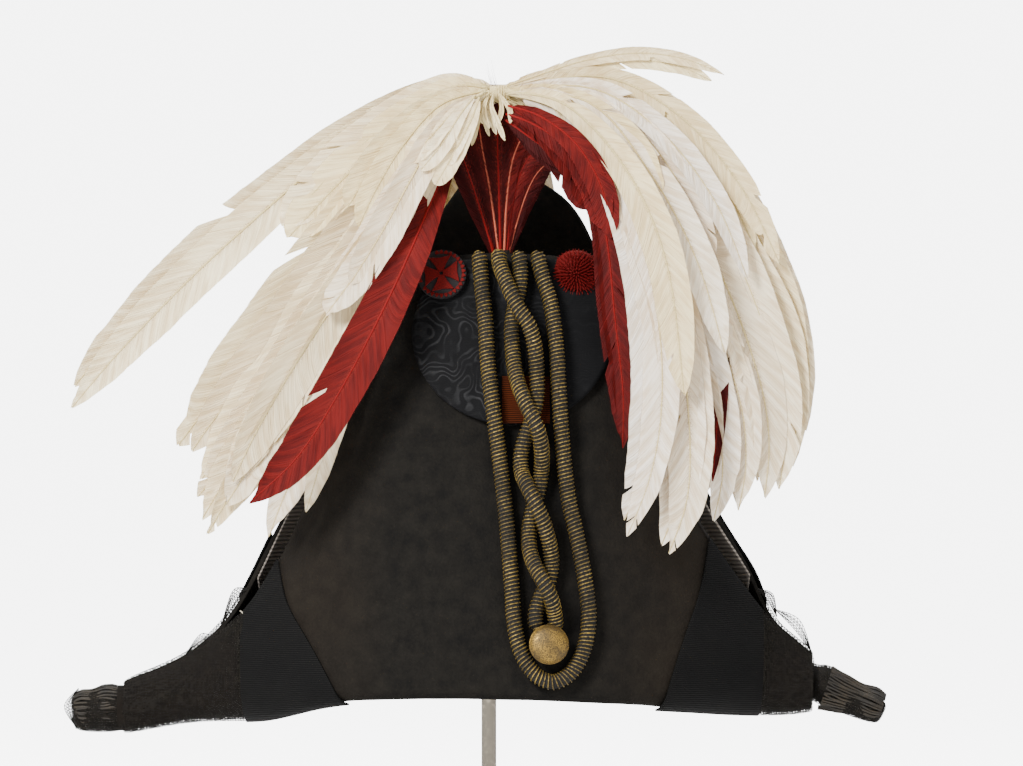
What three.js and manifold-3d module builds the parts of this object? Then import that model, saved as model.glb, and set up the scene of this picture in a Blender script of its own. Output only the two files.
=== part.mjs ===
// Cocked hat of black felt with a falling feather plume, on a plain steel stand.
// Millimetres, +Z up. The front leaf, with its cockade and loops, faces -Y, and +X is to the right
// of someone who looks at it. The origin is the centre of the base plate's underside.

import * as THREE from "three";
import { mergeVertices } from "three/addons/utils/BufferGeometryUtils.js";
import Module from "manifold-3d";

const wasm = await Module();
wasm.setup();

// Stand.
const BASE_SIDE = 170;
const BASE_THICKNESS = 8;
const BASE_CORNER = 6;
const POST_DIAMETER = 8;
const PAD_DIAMETER = 84;
const PAD_THICKNESS = 7;
const PAD_CLEARANCE = 0.6;
const RIM_HEIGHT = 120;

// Felt body. Heights are above the rim.
const HAT_CENTRE_X = 4;
const HALF_LENGTH = 170;
const HALF_DEPTH = 82;
const FRONT_HEIGHT = 236;
const BACK_HEIGHT = 280.5;
const CORNER_DROP = 15;
const FELT = 2.6;
const FOLD_RADIUS = 5;
const SEAM_HALF_GAP = 1.6;
const CLEARANCE = 0.3;

// Crown.
const CROWN_HALF_LENGTH = 98;
const CROWN_HALF_WIDTH = 74;
const CROWN_HEIGHT = 122;
const CROWN_WALL = 2;
// The power of a circle's cosine that gives the dome's section: 1 is round, and less is boxier.
const CROWN_FULLNESS = 0.6;
const CROWN_SPOKES = 32;
const CROWN_LEVELS = [0, 0.16, 0.34, 0.52, 0.68, 0.82, 0.93];
// How far the leaves' inner edges stay outside the crown.
const CROWN_MARGIN = 0.7;

// Ribbons.
const RIBBON_THICKNESS = 1;
const RIBBON_CLEARANCE = 1;
const BAND_CLEARANCE = 1.2;
const RIBBON_OUTER_LEFT = -0.79;
const RIBBON_OUTER_RIGHT = 0.83;
const BAND_WIDTH = 17;
const BAND_OVERHANG = 2;

// Tassel ends in the two corners. Each sits at a height above the rim and droops outwards, and
// corner is where its felt corner ends, as a share of HALF_LENGTH.
const TASSEL_NECK_LENGTH = 16;
const TASSEL_SIDES = 14;
const CORNER_GAP = 1.2;
const TASSEL_LEFT = {
  corner: 1.18,
  height: -8,
  droop: 0.12,
  neck: 12.6,
  length: 26.4,
  diameter: 25,
  end: 19,
};
const TASSEL_RIGHT = {
  corner: 1,
  height: 7,
  droop: 0.5,
  neck: 14.6,
  length: 41,
  diameter: 21,
  end: 13,
};

// Cockade, rosettes, tab, loops and button on the front leaf.
const COCKADE_CENTRE = { x: 12.5, z: 192 };
const COCKADE_HALF_WIDTH = 52.5;
const COCKADE_HALF_HEIGHT = 48;
const COCKADE_THICKNESS = 3.6;
const COCKADE_PLEATS = 20;
const COCKADE_PLEAT_DEPTH = 0.4;
const COCKADE_TOP_GAP = 4;
const ROSETTE_THICKNESS = 3;
const ROSETTE_LEFT = { x: -24.3, z: 223, diameter: 27 };
const ROSETTE_RIGHT = { x: 46, z: 223, diameter: 30 };
const ROSETTE_DOME = 7;
const ROSETTE_TEETH = 17;
const ROSETTE_TOOTH_DEPTH = 0.09;
const CROSS_SPAN = 18;
const CROSS_WAIST = 3;
const CROSS_SPLAY = 9;
const CROSS_RELIEF = 1.2;
const TAB = { x: 19.5, z: 157, width: 25, height: 25, thickness: 1.2 };
const ROPE_DIAMETER = 8.8;
const ROPE_SIDES = 8;
const ROPE_STEP = 9;
const LOOP_CENTRE_X = 23.2;
const LOOP_HALF_WIDTH = 28;
const LOOP_TOP = 234.4;
const LOOP_DROP = 225.7;
// across is a share of LOOP_HALF_WIDTH and down of LOOP_DROP, as in the ropes' tables.
const BUTTON = { across: 0.25, down: 0.917, diameter: 21, shank: 6, thickness: 4.6, sides: 18 };

// Plume. Its head is above the rim, and locks fall from there.
const PLUME_X = 7.6;
const PLUME_HEIGHT = 321;
const PLUME_REACH = 235;
const PLUME_FALL = 256;
const PLUME_FORWARD = 11.5;
const PLUME_STEM_DIAMETER = 8;
const PLUME_STEM_FOOT = 150;
const HEAD_HALF = 8.2;
const HEAD_DEPTH = 5.9;
const RED_HEAD_DEPTH = 7.6;
const RED_HEAD_DROP = 5;
const LOCK_WIDTH = 34;
const LOCK_THICKNESS = 3;
const LOCK_TIP_THINNING = 0.4;
const LOCK_STEPS = 7;
// How far out of its head, on the way to its shoulder, a lock is rooted.
const LOCK_ROOT_SHARE = 0.06;

// Detail smaller than this, which joins can leave, is cleared away.
const SLIVER = 0.01;

const { lerp, clamp, smoothstep } = THREE.MathUtils;

// Rows run from the left corner to the right one. x, edge_x and their like are shares of
// HALF_LENGTH from the hat's centre, depth and lean of HALF_DEPTH, drop of CORNER_DROP,
// top of the leaf's own height. round is the fold's radius as a share of the depth.
const RIM_ROWS = [
  { x: -1.18, drop: 1.4, depth: 0.13, round: 0.8, belly: 1.15 },
  { x: -1.0, drop: 1.0, depth: 0.13, round: 0.8, belly: 1.15 },
  { x: -0.92, drop: 0.95, depth: 0.2, round: 0.8, belly: 1.15 },
  { x: -0.85, drop: 0.9, depth: 0.28, round: 0.7, belly: 1.1 },
  { x: -0.735, drop: 0.87, depth: 0.46, round: 0.5, belly: 0.95 },
  { x: -0.61, drop: 0.5, depth: 0.66, round: 0.3, belly: 0.8 },
  { x: -0.54, drop: 0.28, depth: 0.75, round: 0.2, belly: 0.72 },
  { x: -0.46, drop: 0.13, depth: 0.83, round: 0.12, belly: 0.66 },
  { x: -0.365, drop: 0.05, depth: 0.9, round: 0.08, belly: 0.62 },
  { x: -0.247, drop: 0.02, depth: 0.96, round: 0.06, belly: 0.6 },
  { x: -0.082, drop: 0.0, depth: 1.0, round: 0.06, belly: 0.6 },
  { x: 0.065, drop: 0.03, depth: 1.0, round: 0.06, belly: 0.6 },
  { x: 0.22, drop: 0.1, depth: 0.965, round: 0.06, belly: 0.6 },
  { x: 0.353, drop: 0.2, depth: 0.9, round: 0.08, belly: 0.62 },
  { x: 0.447, drop: 0.27, depth: 0.82, round: 0.12, belly: 0.66 },
  { x: 0.518, drop: 0.4, depth: 0.75, round: 0.2, belly: 0.7 },
  { x: 0.59, drop: 0.47, depth: 0.66, round: 0.3, belly: 0.76 },
  { x: 0.682, drop: 0.58, depth: 0.5, round: 0.45, belly: 0.88 },
  { x: 0.788, drop: 0.68, depth: 0.32, round: 0.65, belly: 1.05 },
  { x: 0.86, drop: 0.72, depth: 0.22, round: 0.8, belly: 1.15 },
  { x: 0.935, drop: 0.7, depth: 0.165, round: 0.8, belly: 1.15 },
  { x: 1.0, drop: 0.6, depth: 0.145, round: 0.8, belly: 1.15 },
];
const FRONT_EDGE_ROWS = [
  { x: -1.18, top: 0.022, lean: 0 },
  { x: -1.0, top: 0.064, lean: 0 },
  { x: -0.92, top: 0.11, lean: 0 },
  { x: -0.85, top: 0.142, lean: 0.01 },
  { x: -0.753, top: 0.212, lean: 0.12 },
  { x: -0.64, top: 0.356, lean: 0.24 },
  { x: -0.565, top: 0.495, lean: 0.3 },
  { x: -0.47, top: 0.69, lean: 0.36 },
  { x: -0.365, top: 0.877, lean: 0.41 },
  { x: -0.247, top: 0.975, lean: 0.44 },
  { x: -0.082, top: 1.0, lean: 0.46 },
  { x: 0.065, top: 1.0, lean: 0.46 },
  { x: 0.22, top: 0.992, lean: 0.45 },
  { x: 0.353, top: 0.96, lean: 0.43 },
  { x: 0.447, top: 0.815, lean: 0.38 },
  { x: 0.53, top: 0.6, lean: 0.32 },
  { x: 0.606, top: 0.428, lean: 0.26 },
  { x: 0.705, top: 0.305, lean: 0.15 },
  { x: 0.8, top: 0.212, lean: 0.04 },
  { x: 0.86, top: 0.163, lean: 0 },
  { x: 0.935, top: 0.119, lean: 0 },
  { x: 1.0, top: 0.078, lean: 0 },
];
const BACK_EDGE_ROWS = [
  { x: -1.18, top: 0.019, lean: 0 },
  { x: -1.0, top: 0.061, lean: 0 },
  { x: -0.918, top: 0.1, lean: 0 },
  { x: -0.841, top: 0.146, lean: 0.01 },
  { x: -0.77, top: 0.221, lean: 0.1 },
  { x: -0.67, top: 0.35, lean: 0.2 },
  { x: -0.576, top: 0.46, lean: 0.26 },
  { x: -0.46, top: 0.6, lean: 0.31 },
  { x: -0.341, top: 0.743, lean: 0.345 },
  { x: -0.253, top: 0.85, lean: 0.36 },
  { x: -0.106, top: 0.995, lean: 0.37 },
  { x: 0.047, top: 1.0, lean: 0.37 },
  { x: 0.212, top: 0.971, lean: 0.37 },
  { x: 0.3, top: 0.879, lean: 0.36 },
  { x: 0.353, top: 0.796, lean: 0.35 },
  { x: 0.47, top: 0.632, lean: 0.31 },
  { x: 0.57, top: 0.495, lean: 0.27 },
  { x: 0.7, top: 0.336, lean: 0.17 },
  { x: 0.818, top: 0.225, lean: 0.05 },
  { x: 0.86, top: 0.145, lean: 0 },
  { x: 0.935, top: 0.107, lean: 0 },
  { x: 1.0, top: 0.073, lean: 0 },
];

// Steps up a leaf's section: the fold under the rim, the crease and the wall.
const FOLD_END = 0.08;
const CREASE_END = 0.2;
const RISE_STEPS = [0, FOLD_END, 0.12, 0.16, CREASE_END, 0.36, 0.52, 0.68, 0.84, 1];
const STATION_STEPS = 27;
const CREASE_SHARE_OF_HEIGHT = 0.35;
const BELLY_HEIGHT = 0.55;

// The ribbon's inner edge, from the crease up to the leaf's edge. x is a share of HALF_LENGTH.
const RIBBON_SEAM_LEFT = [
  { rise: FOLD_END, x: -0.46 },
  { rise: 0.33, x: -0.56 },
  { rise: 0.6, x: -0.63 },
  { rise: 1, x: -0.65 },
];
const RIBBON_SEAM_RIGHT = [
  { rise: FOLD_END, x: 0.5 },
  { rise: 0.33, x: 0.57 },
  { rise: 0.6, x: 0.62 },
  { rise: 1, x: 0.64 },
];

// Loop ropes. across is a share of LOOP_HALF_WIDTH, down of LOOP_DROP, over of a rope's
// diameter, where one rope passes over its neighbour.
const OUTER_LOOP_ROWS = [
  { across: -1.0, down: 0, over: 0 },
  { across: -0.94, down: 0.09, over: 0 },
  { across: -0.885, down: 0.158, over: 0 },
  { across: -0.84, down: 0.258, over: 0 },
  { across: -0.75, down: 0.36, over: 0 },
  { across: -0.635, down: 0.47, over: 0 },
  { across: -0.5, down: 0.617, over: 0 },
  { across: -0.4, down: 0.77, over: 0 },
  { across: -0.346, down: 0.866, over: 0 },
  { across: -0.21, down: 0.935, over: 0 },
  { across: 0.04, down: 0.983, over: 0 },
  { across: 0.365, down: 1.0, over: 0 },
  { across: 0.69, down: 0.978, over: 0 },
  { across: 0.92, down: 0.926, over: 0 },
  { across: 1.02, down: 0.854, over: 0 },
  { across: 0.96, down: 0.77, over: 0 },
  { across: 0.83, down: 0.675, over: 0 },
  { across: 0.66, down: 0.577, over: 0 },
  { across: 0.54, down: 0.46, over: 0 },
  { across: 0.47, down: 0.34, over: 0 },
  { across: 0.42, down: 0.22, over: 0 },
  { across: 0.31, down: 0.115, over: 0 },
  { across: 0.17, down: 0.057, over: 0 },
  { across: 0.07, down: 0, over: 0 },
];
const INNER_LOOP_A_ROWS = [
  { across: -0.654, down: 0, over: 0.2 },
  { across: -0.615, down: 0.043, over: 0.5 },
  { across: -0.48, down: 0.09, over: 0.9 },
  { across: -0.31, down: 0.139, over: 1 },
  { across: -0.096, down: 0.182, over: 0.9 },
  { across: 0.02, down: 0.232, over: 0.5 },
  { across: 0.06, down: 0.292, over: 0.1 },
  { across: 0.06, down: 0.344, over: 0 },
  { across: -0.06, down: 0.404, over: 0 },
  { across: -0.21, down: 0.46, over: 0 },
  { across: -0.23, down: 0.507, over: 0.3 },
  { across: -0.096, down: 0.56, over: 0.95 },
  { across: 0.077, down: 0.608, over: 1 },
  { across: 0.23, down: 0.658, over: 0.6 },
  { across: 0.327, down: 0.708, over: 0.1 },
  { across: 0.31, down: 0.756, over: 0 },
  { across: 0.17, down: 0.794, over: 0 },
  { across: 0.05, down: 0.833, over: 0 },
  { across: 0.05, down: 0.88, over: 0 },
];
const INNER_LOOP_B_ROWS = [
  { across: -0.28, down: 0, over: 0 },
  { across: -0.23, down: 0.053, over: 0 },
  { across: -0.27, down: 0.098, over: 0 },
  { across: -0.365, down: 0.144, over: 0 },
  { across: -0.4, down: 0.19, over: 0 },
  { across: -0.375, down: 0.244, over: 0 },
  { across: -0.33, down: 0.292, over: 0.3 },
  { across: -0.23, down: 0.34, over: 0.75 },
  { across: -0.096, down: 0.383, over: 1 },
  { across: 0.04, down: 0.42, over: 1 },
  { across: 0.13, down: 0.464, over: 0.7 },
  { across: 0.15, down: 0.507, over: 0.2 },
  { across: 0.096, down: 0.555, over: 0 },
  { across: 0, down: 0.598, over: 0 },
  { across: -0.077, down: 0.65, over: 0 },
  { across: -0.067, down: 0.7, over: 0.3 },
  { across: 0.077, down: 0.754, over: 0.85 },
  { across: 0.24, down: 0.794, over: 1 },
  { across: 0.36, down: 0.833, over: 0.4 },
  { across: 0.42, down: 0.88, over: 0 },
];

// Locks of the plume. Each falls from its head over a shoulder and a middle to its tip. x is a
// share of PLUME_REACH from the stem, fall of PLUME_FALL below the head, and forward is a share
// of HALF_DEPTH towards the front of the stem. width is a share of LOCK_WIDTH.
const WHITE_LEFT_LOCKS = [
  { path: [[-0.155, -0.02, 0.2], [-0.48, 0.18, 0.18], [-0.985, 0.655, 0.14]], width: 0.97 },
  { path: [[-0.19, 0.035, 0.22], [-0.466, 0.34, 0.24], [-0.725, 0.745, 0.2]], width: 1.12 },
  { path: [[-0.168, 0.066, 0.28], [-0.4, 0.42, 0.34], [-0.683, 0.92, 0.3]], width: 1.06 },
  { path: [[-0.17, 0.1, 0.34], [-0.36, 0.46, 0.42], [-0.607, 0.88, 0.4]], width: 1 },
  { path: [[-0.134, 0.1, 0.3], [-0.3, 0.44, 0.38], [-0.53, 0.95, 0.34]], width: 1 },
  { path: [[-0.04, 0.025, 0.22], [-0.064, 0.068, 0.22], [-0.082, 0.12, 0.2]], width: 0.3 },
  { path: [[-0.02, 0.03, 0.24], [-0.017, 0.07, 0.25], [-0.014, 0.12, 0.22]], width: 0.3 },
];
const WHITE_RIGHT_LOCKS = [
  { path: [[0.13, -0.054, 0.16], [0.31, -0.083, 0.16], [0.495, -0.03, 0.16]], width: 0.27 },
  { path: [[0.2, -0.02, 0.14], [0.53, 0.25, 0.12], [0.71, 0.81, 0.1]], width: 0.88 },
  { path: [[0.188, 0.004, 0.18], [0.45, 0.25, 0.2], [0.648, 0.855, 0.18]], width: 1 },
  { path: [[0.18, 0.02, 0.22], [0.383, 0.25, 0.26], [0.595, 0.88, 0.24]], width: 0.94 },
  { path: [[0.17, 0.04, 0.18], [0.34, 0.3, 0.2], [0.53, 0.895, 0.26]], width: 0.94 },
  { path: [[0.165, 0.05, 0.26], [0.33, 0.36, 0.32], [0.47, 0.92, 0.34]], width: 1 },
  { path: [[0.154, 0.055, 0.24], [0.31, 0.31, 0.34], [0.351, 0.99, 0.48]], width: 1.06 },
  { path: [[0.142, 0.078, 0.26], [0.272, 0.331, 0.4], [0.257, 0.95, 0.56]], width: 0.82 },
];
const RED_LOCKS = [
  {
    path: [[-0.09, 0.12, 0.06], [-0.168, 0.248, 0.18], [-0.3, 0.476, 0.28], [-0.575, 0.855, 0.2]],
    width: 0.88,
  },
  {
    path: [[0.13, 0.058, 0.02], [0.223, 0.195, 0.1], [0.264, 0.49, 0.27], [0.275, 0.73, 0.35]],
    width: 0.47,
  },
  { path: [[0.2, 0.06, 0], [0.39, 0.31, 0.03], [0.468, 0.82, 0.1]], width: 0.65 },
];
const WHITE_BACK_LOCKS = [
  { path: [[-0.13, 0.03, -0.52], [-0.28, 0.3, -0.94], [-0.35, 0.7, -1.14]], width: 1 },
  { path: [[-0.07, -0.03, -0.66], [-0.14, 0.3, -1.1], [-0.18, 0.8, -1.38]], width: 1 },
  { path: [[0.0, 0.01, -0.58], [0.01, 0.3, -1.0], [0.02, 0.74, -1.3]], width: 1 },
  { path: [[0.07, -0.03, -0.68], [0.15, 0.3, -1.12], [0.19, 0.78, -1.4]], width: 1 },
  { path: [[0.13, 0.03, -0.54], [0.28, 0.3, -0.96], [0.32, 0.7, -1.18]], width: 1 },
];
// The red spray that rises from the stem to the plume's head. x is a share of PLUME_REACH from
// the stem, and rise of the way from the front leaf's edge to the red head's centre.
const RED_SPRAY = [
  { x: -0.105, rise: 0.66, width: 0.5 },
  { x: -0.06, rise: 0.85, width: 0.53 },
  { x: -0.01, rise: 1, width: 0.53 },
  { x: 0.05, rise: 0.91, width: 0.53 },
  { x: 0.1, rise: 0.85, width: 0.5 },
  { x: 0.16, rise: 0.77, width: 0.5 },
];
// A feather lock's width along its length, as shares.
const LOCK_FORM = [
  { along: 0, width: 0.22 },
  { along: 0.15, width: 0.55 },
  { along: 0.4, width: 0.92 },
  { along: 0.65, width: 1 },
  { along: 0.85, width: 0.78 },
  { along: 0.95, width: 0.45 },
  { along: 1, width: 0.1 },
];

// Value of a column between the rows on either side, on a smooth curve through all rows.
function smoothColumn(rows, column, position) {
  const last = rows.length - 1;
  const at = clamp(position, 0, last);
  const low = Math.min(Math.floor(at), last - 1);
  const share = at - low;
  const value = (index) => rows[clamp(index, 0, last)][column];
  const start = value(low);
  const end = value(low + 1);
  const startSlope = (end - value(low - 1)) / 2;
  const endSlope = (value(low + 2) - start) / 2;
  const square = share * share;
  const cube = square * share;
  return (
    (2 * cube - 3 * square + 1) * start +
    (cube - 2 * square + share) * startSlope +
    (3 * square - 2 * cube) * end +
    (cube - square) * endSlope
  );
}

// Value of one column at a place along another, by straight lines between rows.
function tableValue(rows, along, column, place) {
  const next = rows.findIndex((row) => row[along] >= place);
  if (next <= 0) return rows[next === 0 ? 0 : rows.length - 1][column];
  const low = rows[next - 1];
  const high = rows[next];
  return lerp(low[column], high[column], (place - low[along]) / (high[along] - low[along]));
}

// Row position, 0 to the last row, whose rim lies at a share of HALF_LENGTH.
function stationAt(share) {
  const last = RIM_ROWS.length - 1;
  let low = 0;
  let high = last;
  for (let step = 0; step < 30; step += 1) {
    const middle = (low + high) / 2;
    if (smoothColumn(RIM_ROWS, "x", middle) < share) low = middle;
    else high = middle;
  }
  return (low + high) / 2;
}

// Half width of the crown's outline, with a margin, at a distance from its centre.
function crownHalfWidth(fromCentre, margin) {
  const share = fromCentre / (CROWN_HALF_LENGTH + margin);
  return Math.abs(share) >= 1 ? 0 : (CROWN_HALF_WIDTH + margin) * Math.sqrt(1 - share * share);
}

const FRONT_LEAF = { side: -1, height: FRONT_HEIGHT, edge: FRONT_EDGE_ROWS };
const BACK_LEAF = { side: 1, height: BACK_HEIGHT, edge: BACK_EDGE_ROWS };

// A point on the middle of a leaf's felt. station is a row position and rise runs from the inner
// edge under the rim (0), round the crease, up to the leaf's edge (1).
function leafPoint(leaf, station, rise) {
  const rimX = HALF_LENGTH * smoothColumn(RIM_ROWS, "x", station);
  const edgeX = HALF_LENGTH * smoothColumn(leaf.edge, "x", station);
  const depth = HALF_DEPTH * smoothColumn(RIM_ROWS, "depth", station);
  const bottom = FELT / 2 - CORNER_DROP * smoothColumn(RIM_ROWS, "drop", station);
  const top = leaf.height * smoothColumn(leaf.edge, "top", station);
  const edgeDepth = SEAM_HALF_GAP + HALF_DEPTH * Math.max(0, smoothColumn(leaf.edge, "lean", station));
  const belly = smoothColumn(RIM_ROWS, "belly", station);
  const round = Math.max(FOLD_RADIUS, depth * smoothColumn(RIM_ROWS, "round", station));
  const inner = Math.max(CLEARANCE, crownHalfWidth(rimX, CROWN_MARGIN));
  const creaseHeight = Math.min(round, CREASE_SHARE_OF_HEIGHT * (top - bottom));
  const creaseStart = Math.max(depth - round, inner);
  const creaseWidth = depth - creaseStart;
  let y;
  let z;
  if (rise < FOLD_END) {
    y = lerp(inner, creaseStart, rise / FOLD_END);
    z = bottom;
  } else if (rise < CREASE_END) {
    const turn = ((rise - FOLD_END) / (CREASE_END - FOLD_END)) * (Math.PI / 2);
    y = creaseStart + creaseWidth * Math.sin(turn);
    z = bottom + creaseHeight * (1 - Math.cos(turn));
  } else {
    const share = (rise - CREASE_END) / (1 - CREASE_END);
    const foot = bottom + creaseHeight;
    const bellyDepth = lerp(edgeDepth, depth, belly);
    const bellyZ = lerp(foot, top, BELLY_HEIGHT);
    const a = (1 - share) * (1 - share);
    const b = 2 * share * (1 - share);
    const c = share * share;
    y = a * depth + b * bellyDepth + c * edgeDepth;
    z = a * foot + b * bellyZ + c * top;
  }
  const raised = clamp((z - bottom) / (top - bottom), 0, 2);
  return new THREE.Vector3(HAT_CENTRE_X + lerp(rimX, edgeX, raised), leaf.side * y, RIM_HEIGHT + z);
}

// The outward direction of a leaf's felt.
function leafNormal(leaf, station, rise) {
  const small = 0.01;
  const along = leafPoint(leaf, station + small, rise).sub(leafPoint(leaf, station - small, rise));
  const up = leafPoint(leaf, station, rise + small / 2).sub(leafPoint(leaf, station, rise - small / 2));
  return along.cross(up).normalize().multiplyScalar(-leaf.side);
}

// A point at a distance outside (or, if negative, inside) the middle of a leaf's felt.
function leafOffset(leaf, station, rise, distance) {
  return leafPoint(leaf, station, rise).addScaledVector(leafNormal(leaf, station, rise), distance);
}

// A point over the front leaf's outer face, at x and a height above the rim.
function overFront(x, height, lift) {
  let share = (x - HAT_CENTRE_X) / HALF_LENGTH;
  let station = stationAt(share);
  let rise = 0.5;
  for (let pass = 0; pass < 6; pass += 1) {
    let low = CREASE_END;
    let high = 1.1;
    for (let step = 0; step < 24; step += 1) {
      rise = (low + high) / 2;
      if (leafPoint(FRONT_LEAF, station, rise).z - RIM_HEIGHT < height) low = rise;
      else high = rise;
    }
    share += (x - leafPoint(FRONT_LEAF, station, rise).x) / HALF_LENGTH;
    station = stationAt(share);
  }
  return leafOffset(FRONT_LEAF, station, rise, FELT / 2 + lift);
}

// A closed solid as an indexed geometry, from triangles of points.
function solidFromPoints(points, triangles) {
  const geometry = new THREE.BufferGeometry();
  const positions = new Float32Array(points.flatMap((point) => [point.x, point.y, point.z]));
  geometry.setAttribute("position", new THREE.BufferAttribute(positions, 3));
  geometry.setIndex(triangles);
  return toManifold(geometry);
}

// A closed mesh as a solid that can be joined and cut, with its faces outwards.
function toManifold(geometry) {
  const bare = geometry.clone();
  bare.deleteAttribute("normal");
  bare.deleteAttribute("uv");
  const merged = mergeVertices(bare, 1e-4);
  const triVerts = new Uint32Array(merged.index.array);
  const mesh = () =>
    new wasm.Mesh({ numProp: 3, vertProperties: merged.attributes.position.array, triVerts });
  const solid = new wasm.Manifold(mesh());
  if (solid.volume() >= 0) return solid;
  for (let i = 0; i < triVerts.length; i += 3) triVerts.subarray(i, i + 2).reverse();
  return new wasm.Manifold(mesh());
}

// A solid's surface as a geometry for a mesh, without the slivers that joins leave.
function toGeometry(solid) {
  const mesh = solid.simplify(SLIVER).getMesh();
  const geometry = new THREE.BufferGeometry();
  geometry.setAttribute("position", new THREE.BufferAttribute(mesh.vertProperties, 3));
  geometry.setIndex(new THREE.BufferAttribute(mesh.triVerts, 1));
  geometry.computeVertexNormals();
  return geometry;
}

// A sheet with two faces, each a grid of points, closed round its border.
function sheetSolid(columns, rows, outerPoint, innerPoint) {
  const points = [];
  for (const face of [outerPoint, innerPoint])
    for (let i = 0; i <= columns; i += 1)
      for (let j = 0; j <= rows; j += 1) points.push(face(i, j));
  const stride = rows + 1;
  const faceSize = (columns + 1) * stride;
  const outer = (i, j) => i * stride + j;
  const inner = (i, j) => faceSize + i * stride + j;
  const triangles = [];
  const quad = (a, b, c, d) => triangles.push(a, b, c, a, c, d);
  for (let i = 0; i < columns; i += 1)
    for (let j = 0; j < rows; j += 1) {
      quad(outer(i, j), outer(i + 1, j), outer(i + 1, j + 1), outer(i, j + 1));
      quad(inner(i, j), inner(i, j + 1), inner(i + 1, j + 1), inner(i + 1, j));
    }
  for (let i = 0; i < columns; i += 1) {
    quad(outer(i, 0), inner(i, 0), inner(i + 1, 0), outer(i + 1, 0));
    quad(outer(i, rows), outer(i + 1, rows), inner(i + 1, rows), inner(i, rows));
  }
  for (let j = 0; j < rows; j += 1) {
    quad(outer(0, j), outer(0, j + 1), inner(0, j + 1), inner(0, j));
    quad(outer(columns, j), inner(columns, j), inner(columns, j + 1), outer(columns, j + 1));
  }
  return solidFromPoints(points, triangles);
}

// A disc with two faces in rings round a centre, closed round its border.
function discSolid(spokes, rings, frontPoint, backPoint) {
  const points = [frontPoint(0, 0), backPoint(0, 0)];
  for (const face of [frontPoint, backPoint])
    for (let ring = 1; ring <= rings; ring += 1)
      for (let spoke = 0; spoke < spokes; spoke += 1) points.push(face(ring / rings, spoke));
  const at = (face, ring, spoke) => 2 + (face * rings + ring - 1) * spokes + (spoke % spokes);
  const triangles = [];
  const quad = (a, b, c, d) => triangles.push(a, b, c, a, c, d);
  for (let s = 0; s < spokes; s += 1) {
    triangles.push(0, at(0, 1, s), at(0, 1, s + 1));
    triangles.push(1, at(1, 1, s + 1), at(1, 1, s));
    for (let ring = 1; ring < rings; ring += 1) {
      quad(at(0, ring, s), at(0, ring + 1, s), at(0, ring + 1, s + 1), at(0, ring, s + 1));
      quad(at(1, ring, s), at(1, ring, s + 1), at(1, ring + 1, s + 1), at(1, ring + 1, s));
    }
    quad(at(0, rings, s), at(1, rings, s), at(1, rings, s + 1), at(0, rings, s + 1));
  }
  return solidFromPoints(points, triangles);
}

// A tube of rings, each a closed run of points, with flat ends.
function ringSolid(rings) {
  const sides = rings[0].length;
  const points = rings.flat();
  const triangles = [];
  for (let ring = 0; ring < rings.length - 1; ring += 1)
    for (let side = 0; side < sides; side += 1) {
      const a = ring * sides + side;
      const b = ring * sides + ((side + 1) % sides);
      triangles.push(a, b, b + sides, a, b + sides, a + sides);
    }
  const last = (rings.length - 1) * sides;
  for (let side = 1; side < sides - 1; side += 1) {
    triangles.push(0, side + 1, side);
    triangles.push(last, last + side, last + side + 1);
  }
  return solidFromPoints(points, triangles);
}

// Row positions of a leaf's sections: even steps, with some more where the crown's ends curve.
function leafStations() {
  const last = RIM_ROWS.length - 1;
  const crownEnd = (CROWN_HALF_LENGTH + CROWN_MARGIN) / HALF_LENGTH;
  const added = [-1, -0.985, -0.93, 0.93, 0.985, 1].map((share) => stationAt(share * crownEnd));
  const even = Array.from({ length: STATION_STEPS + 1 }, (_, i) => (last * i) / STATION_STEPS);
  const clear = even.filter((place) => added.every((other) => Math.abs(place - other) > 0.25));
  return [...clear, ...added].sort((a, b) => a - b);
}

// A leaf of felt, folded in under the rim and turned up to its edge.
function leafSolid(leaf) {
  const stations = leafStations();
  const face = (distance) => (i, j) => leafOffset(leaf, stations[i], RISE_STEPS[j], distance);
  return sheetSolid(stations.length - 1, RISE_STEPS.length - 1, face(FELT / 2), face(-FELT / 2));
}

// The crown: an oval dome of felt, open below. level runs from its rim (0) to its top (1).
function crownSolid() {
  const spokes = CROWN_SPOKES;
  const levels = CROWN_LEVELS;
  const face = (shrink) => (level, spoke) => {
    const turn = (level * Math.PI) / 2;
    const around = (spoke / spokes) * 2 * Math.PI;
    const wide = Math.pow(Math.cos(turn), CROWN_FULLNESS);
    return new THREE.Vector3(
      HAT_CENTRE_X + (CROWN_HALF_LENGTH - shrink) * wide * Math.cos(around),
      (CROWN_HALF_WIDTH - shrink) * wide * Math.sin(around),
      RIM_HEIGHT + CROWN_WALL / 2 + (CROWN_HEIGHT - shrink) * Math.sin(turn),
    );
  };
  const outer = face(0);
  const inner = face(CROWN_WALL);
  const points = [outer(1, 0), inner(1, 0)];
  for (const side of [outer, inner])
    for (const level of levels)
      for (let spoke = 0; spoke < spokes; spoke += 1) points.push(side(level, spoke));
  const at = (side, level, spoke) => 2 + (side * levels.length + level) * spokes + (spoke % spokes);
  const triangles = [];
  const quad = (a, b, c, d) => triangles.push(a, b, c, a, c, d);
  const top = levels.length - 1;
  for (let s = 0; s < spokes; s += 1) {
    for (let level = 0; level < top; level += 1) {
      quad(at(0, level, s), at(0, level, s + 1), at(0, level + 1, s + 1), at(0, level + 1, s));
      quad(at(1, level, s), at(1, level + 1, s), at(1, level + 1, s + 1), at(1, level, s + 1));
    }
    triangles.push(0, at(0, top, s), at(0, top, s + 1));
    triangles.push(1, at(1, top, s + 1), at(1, top, s));
    quad(at(0, 0, s), at(1, 0, s), at(1, 0, s + 1), at(0, 0, s + 1));
  }
  return solidFromPoints(points, triangles);
}

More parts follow.
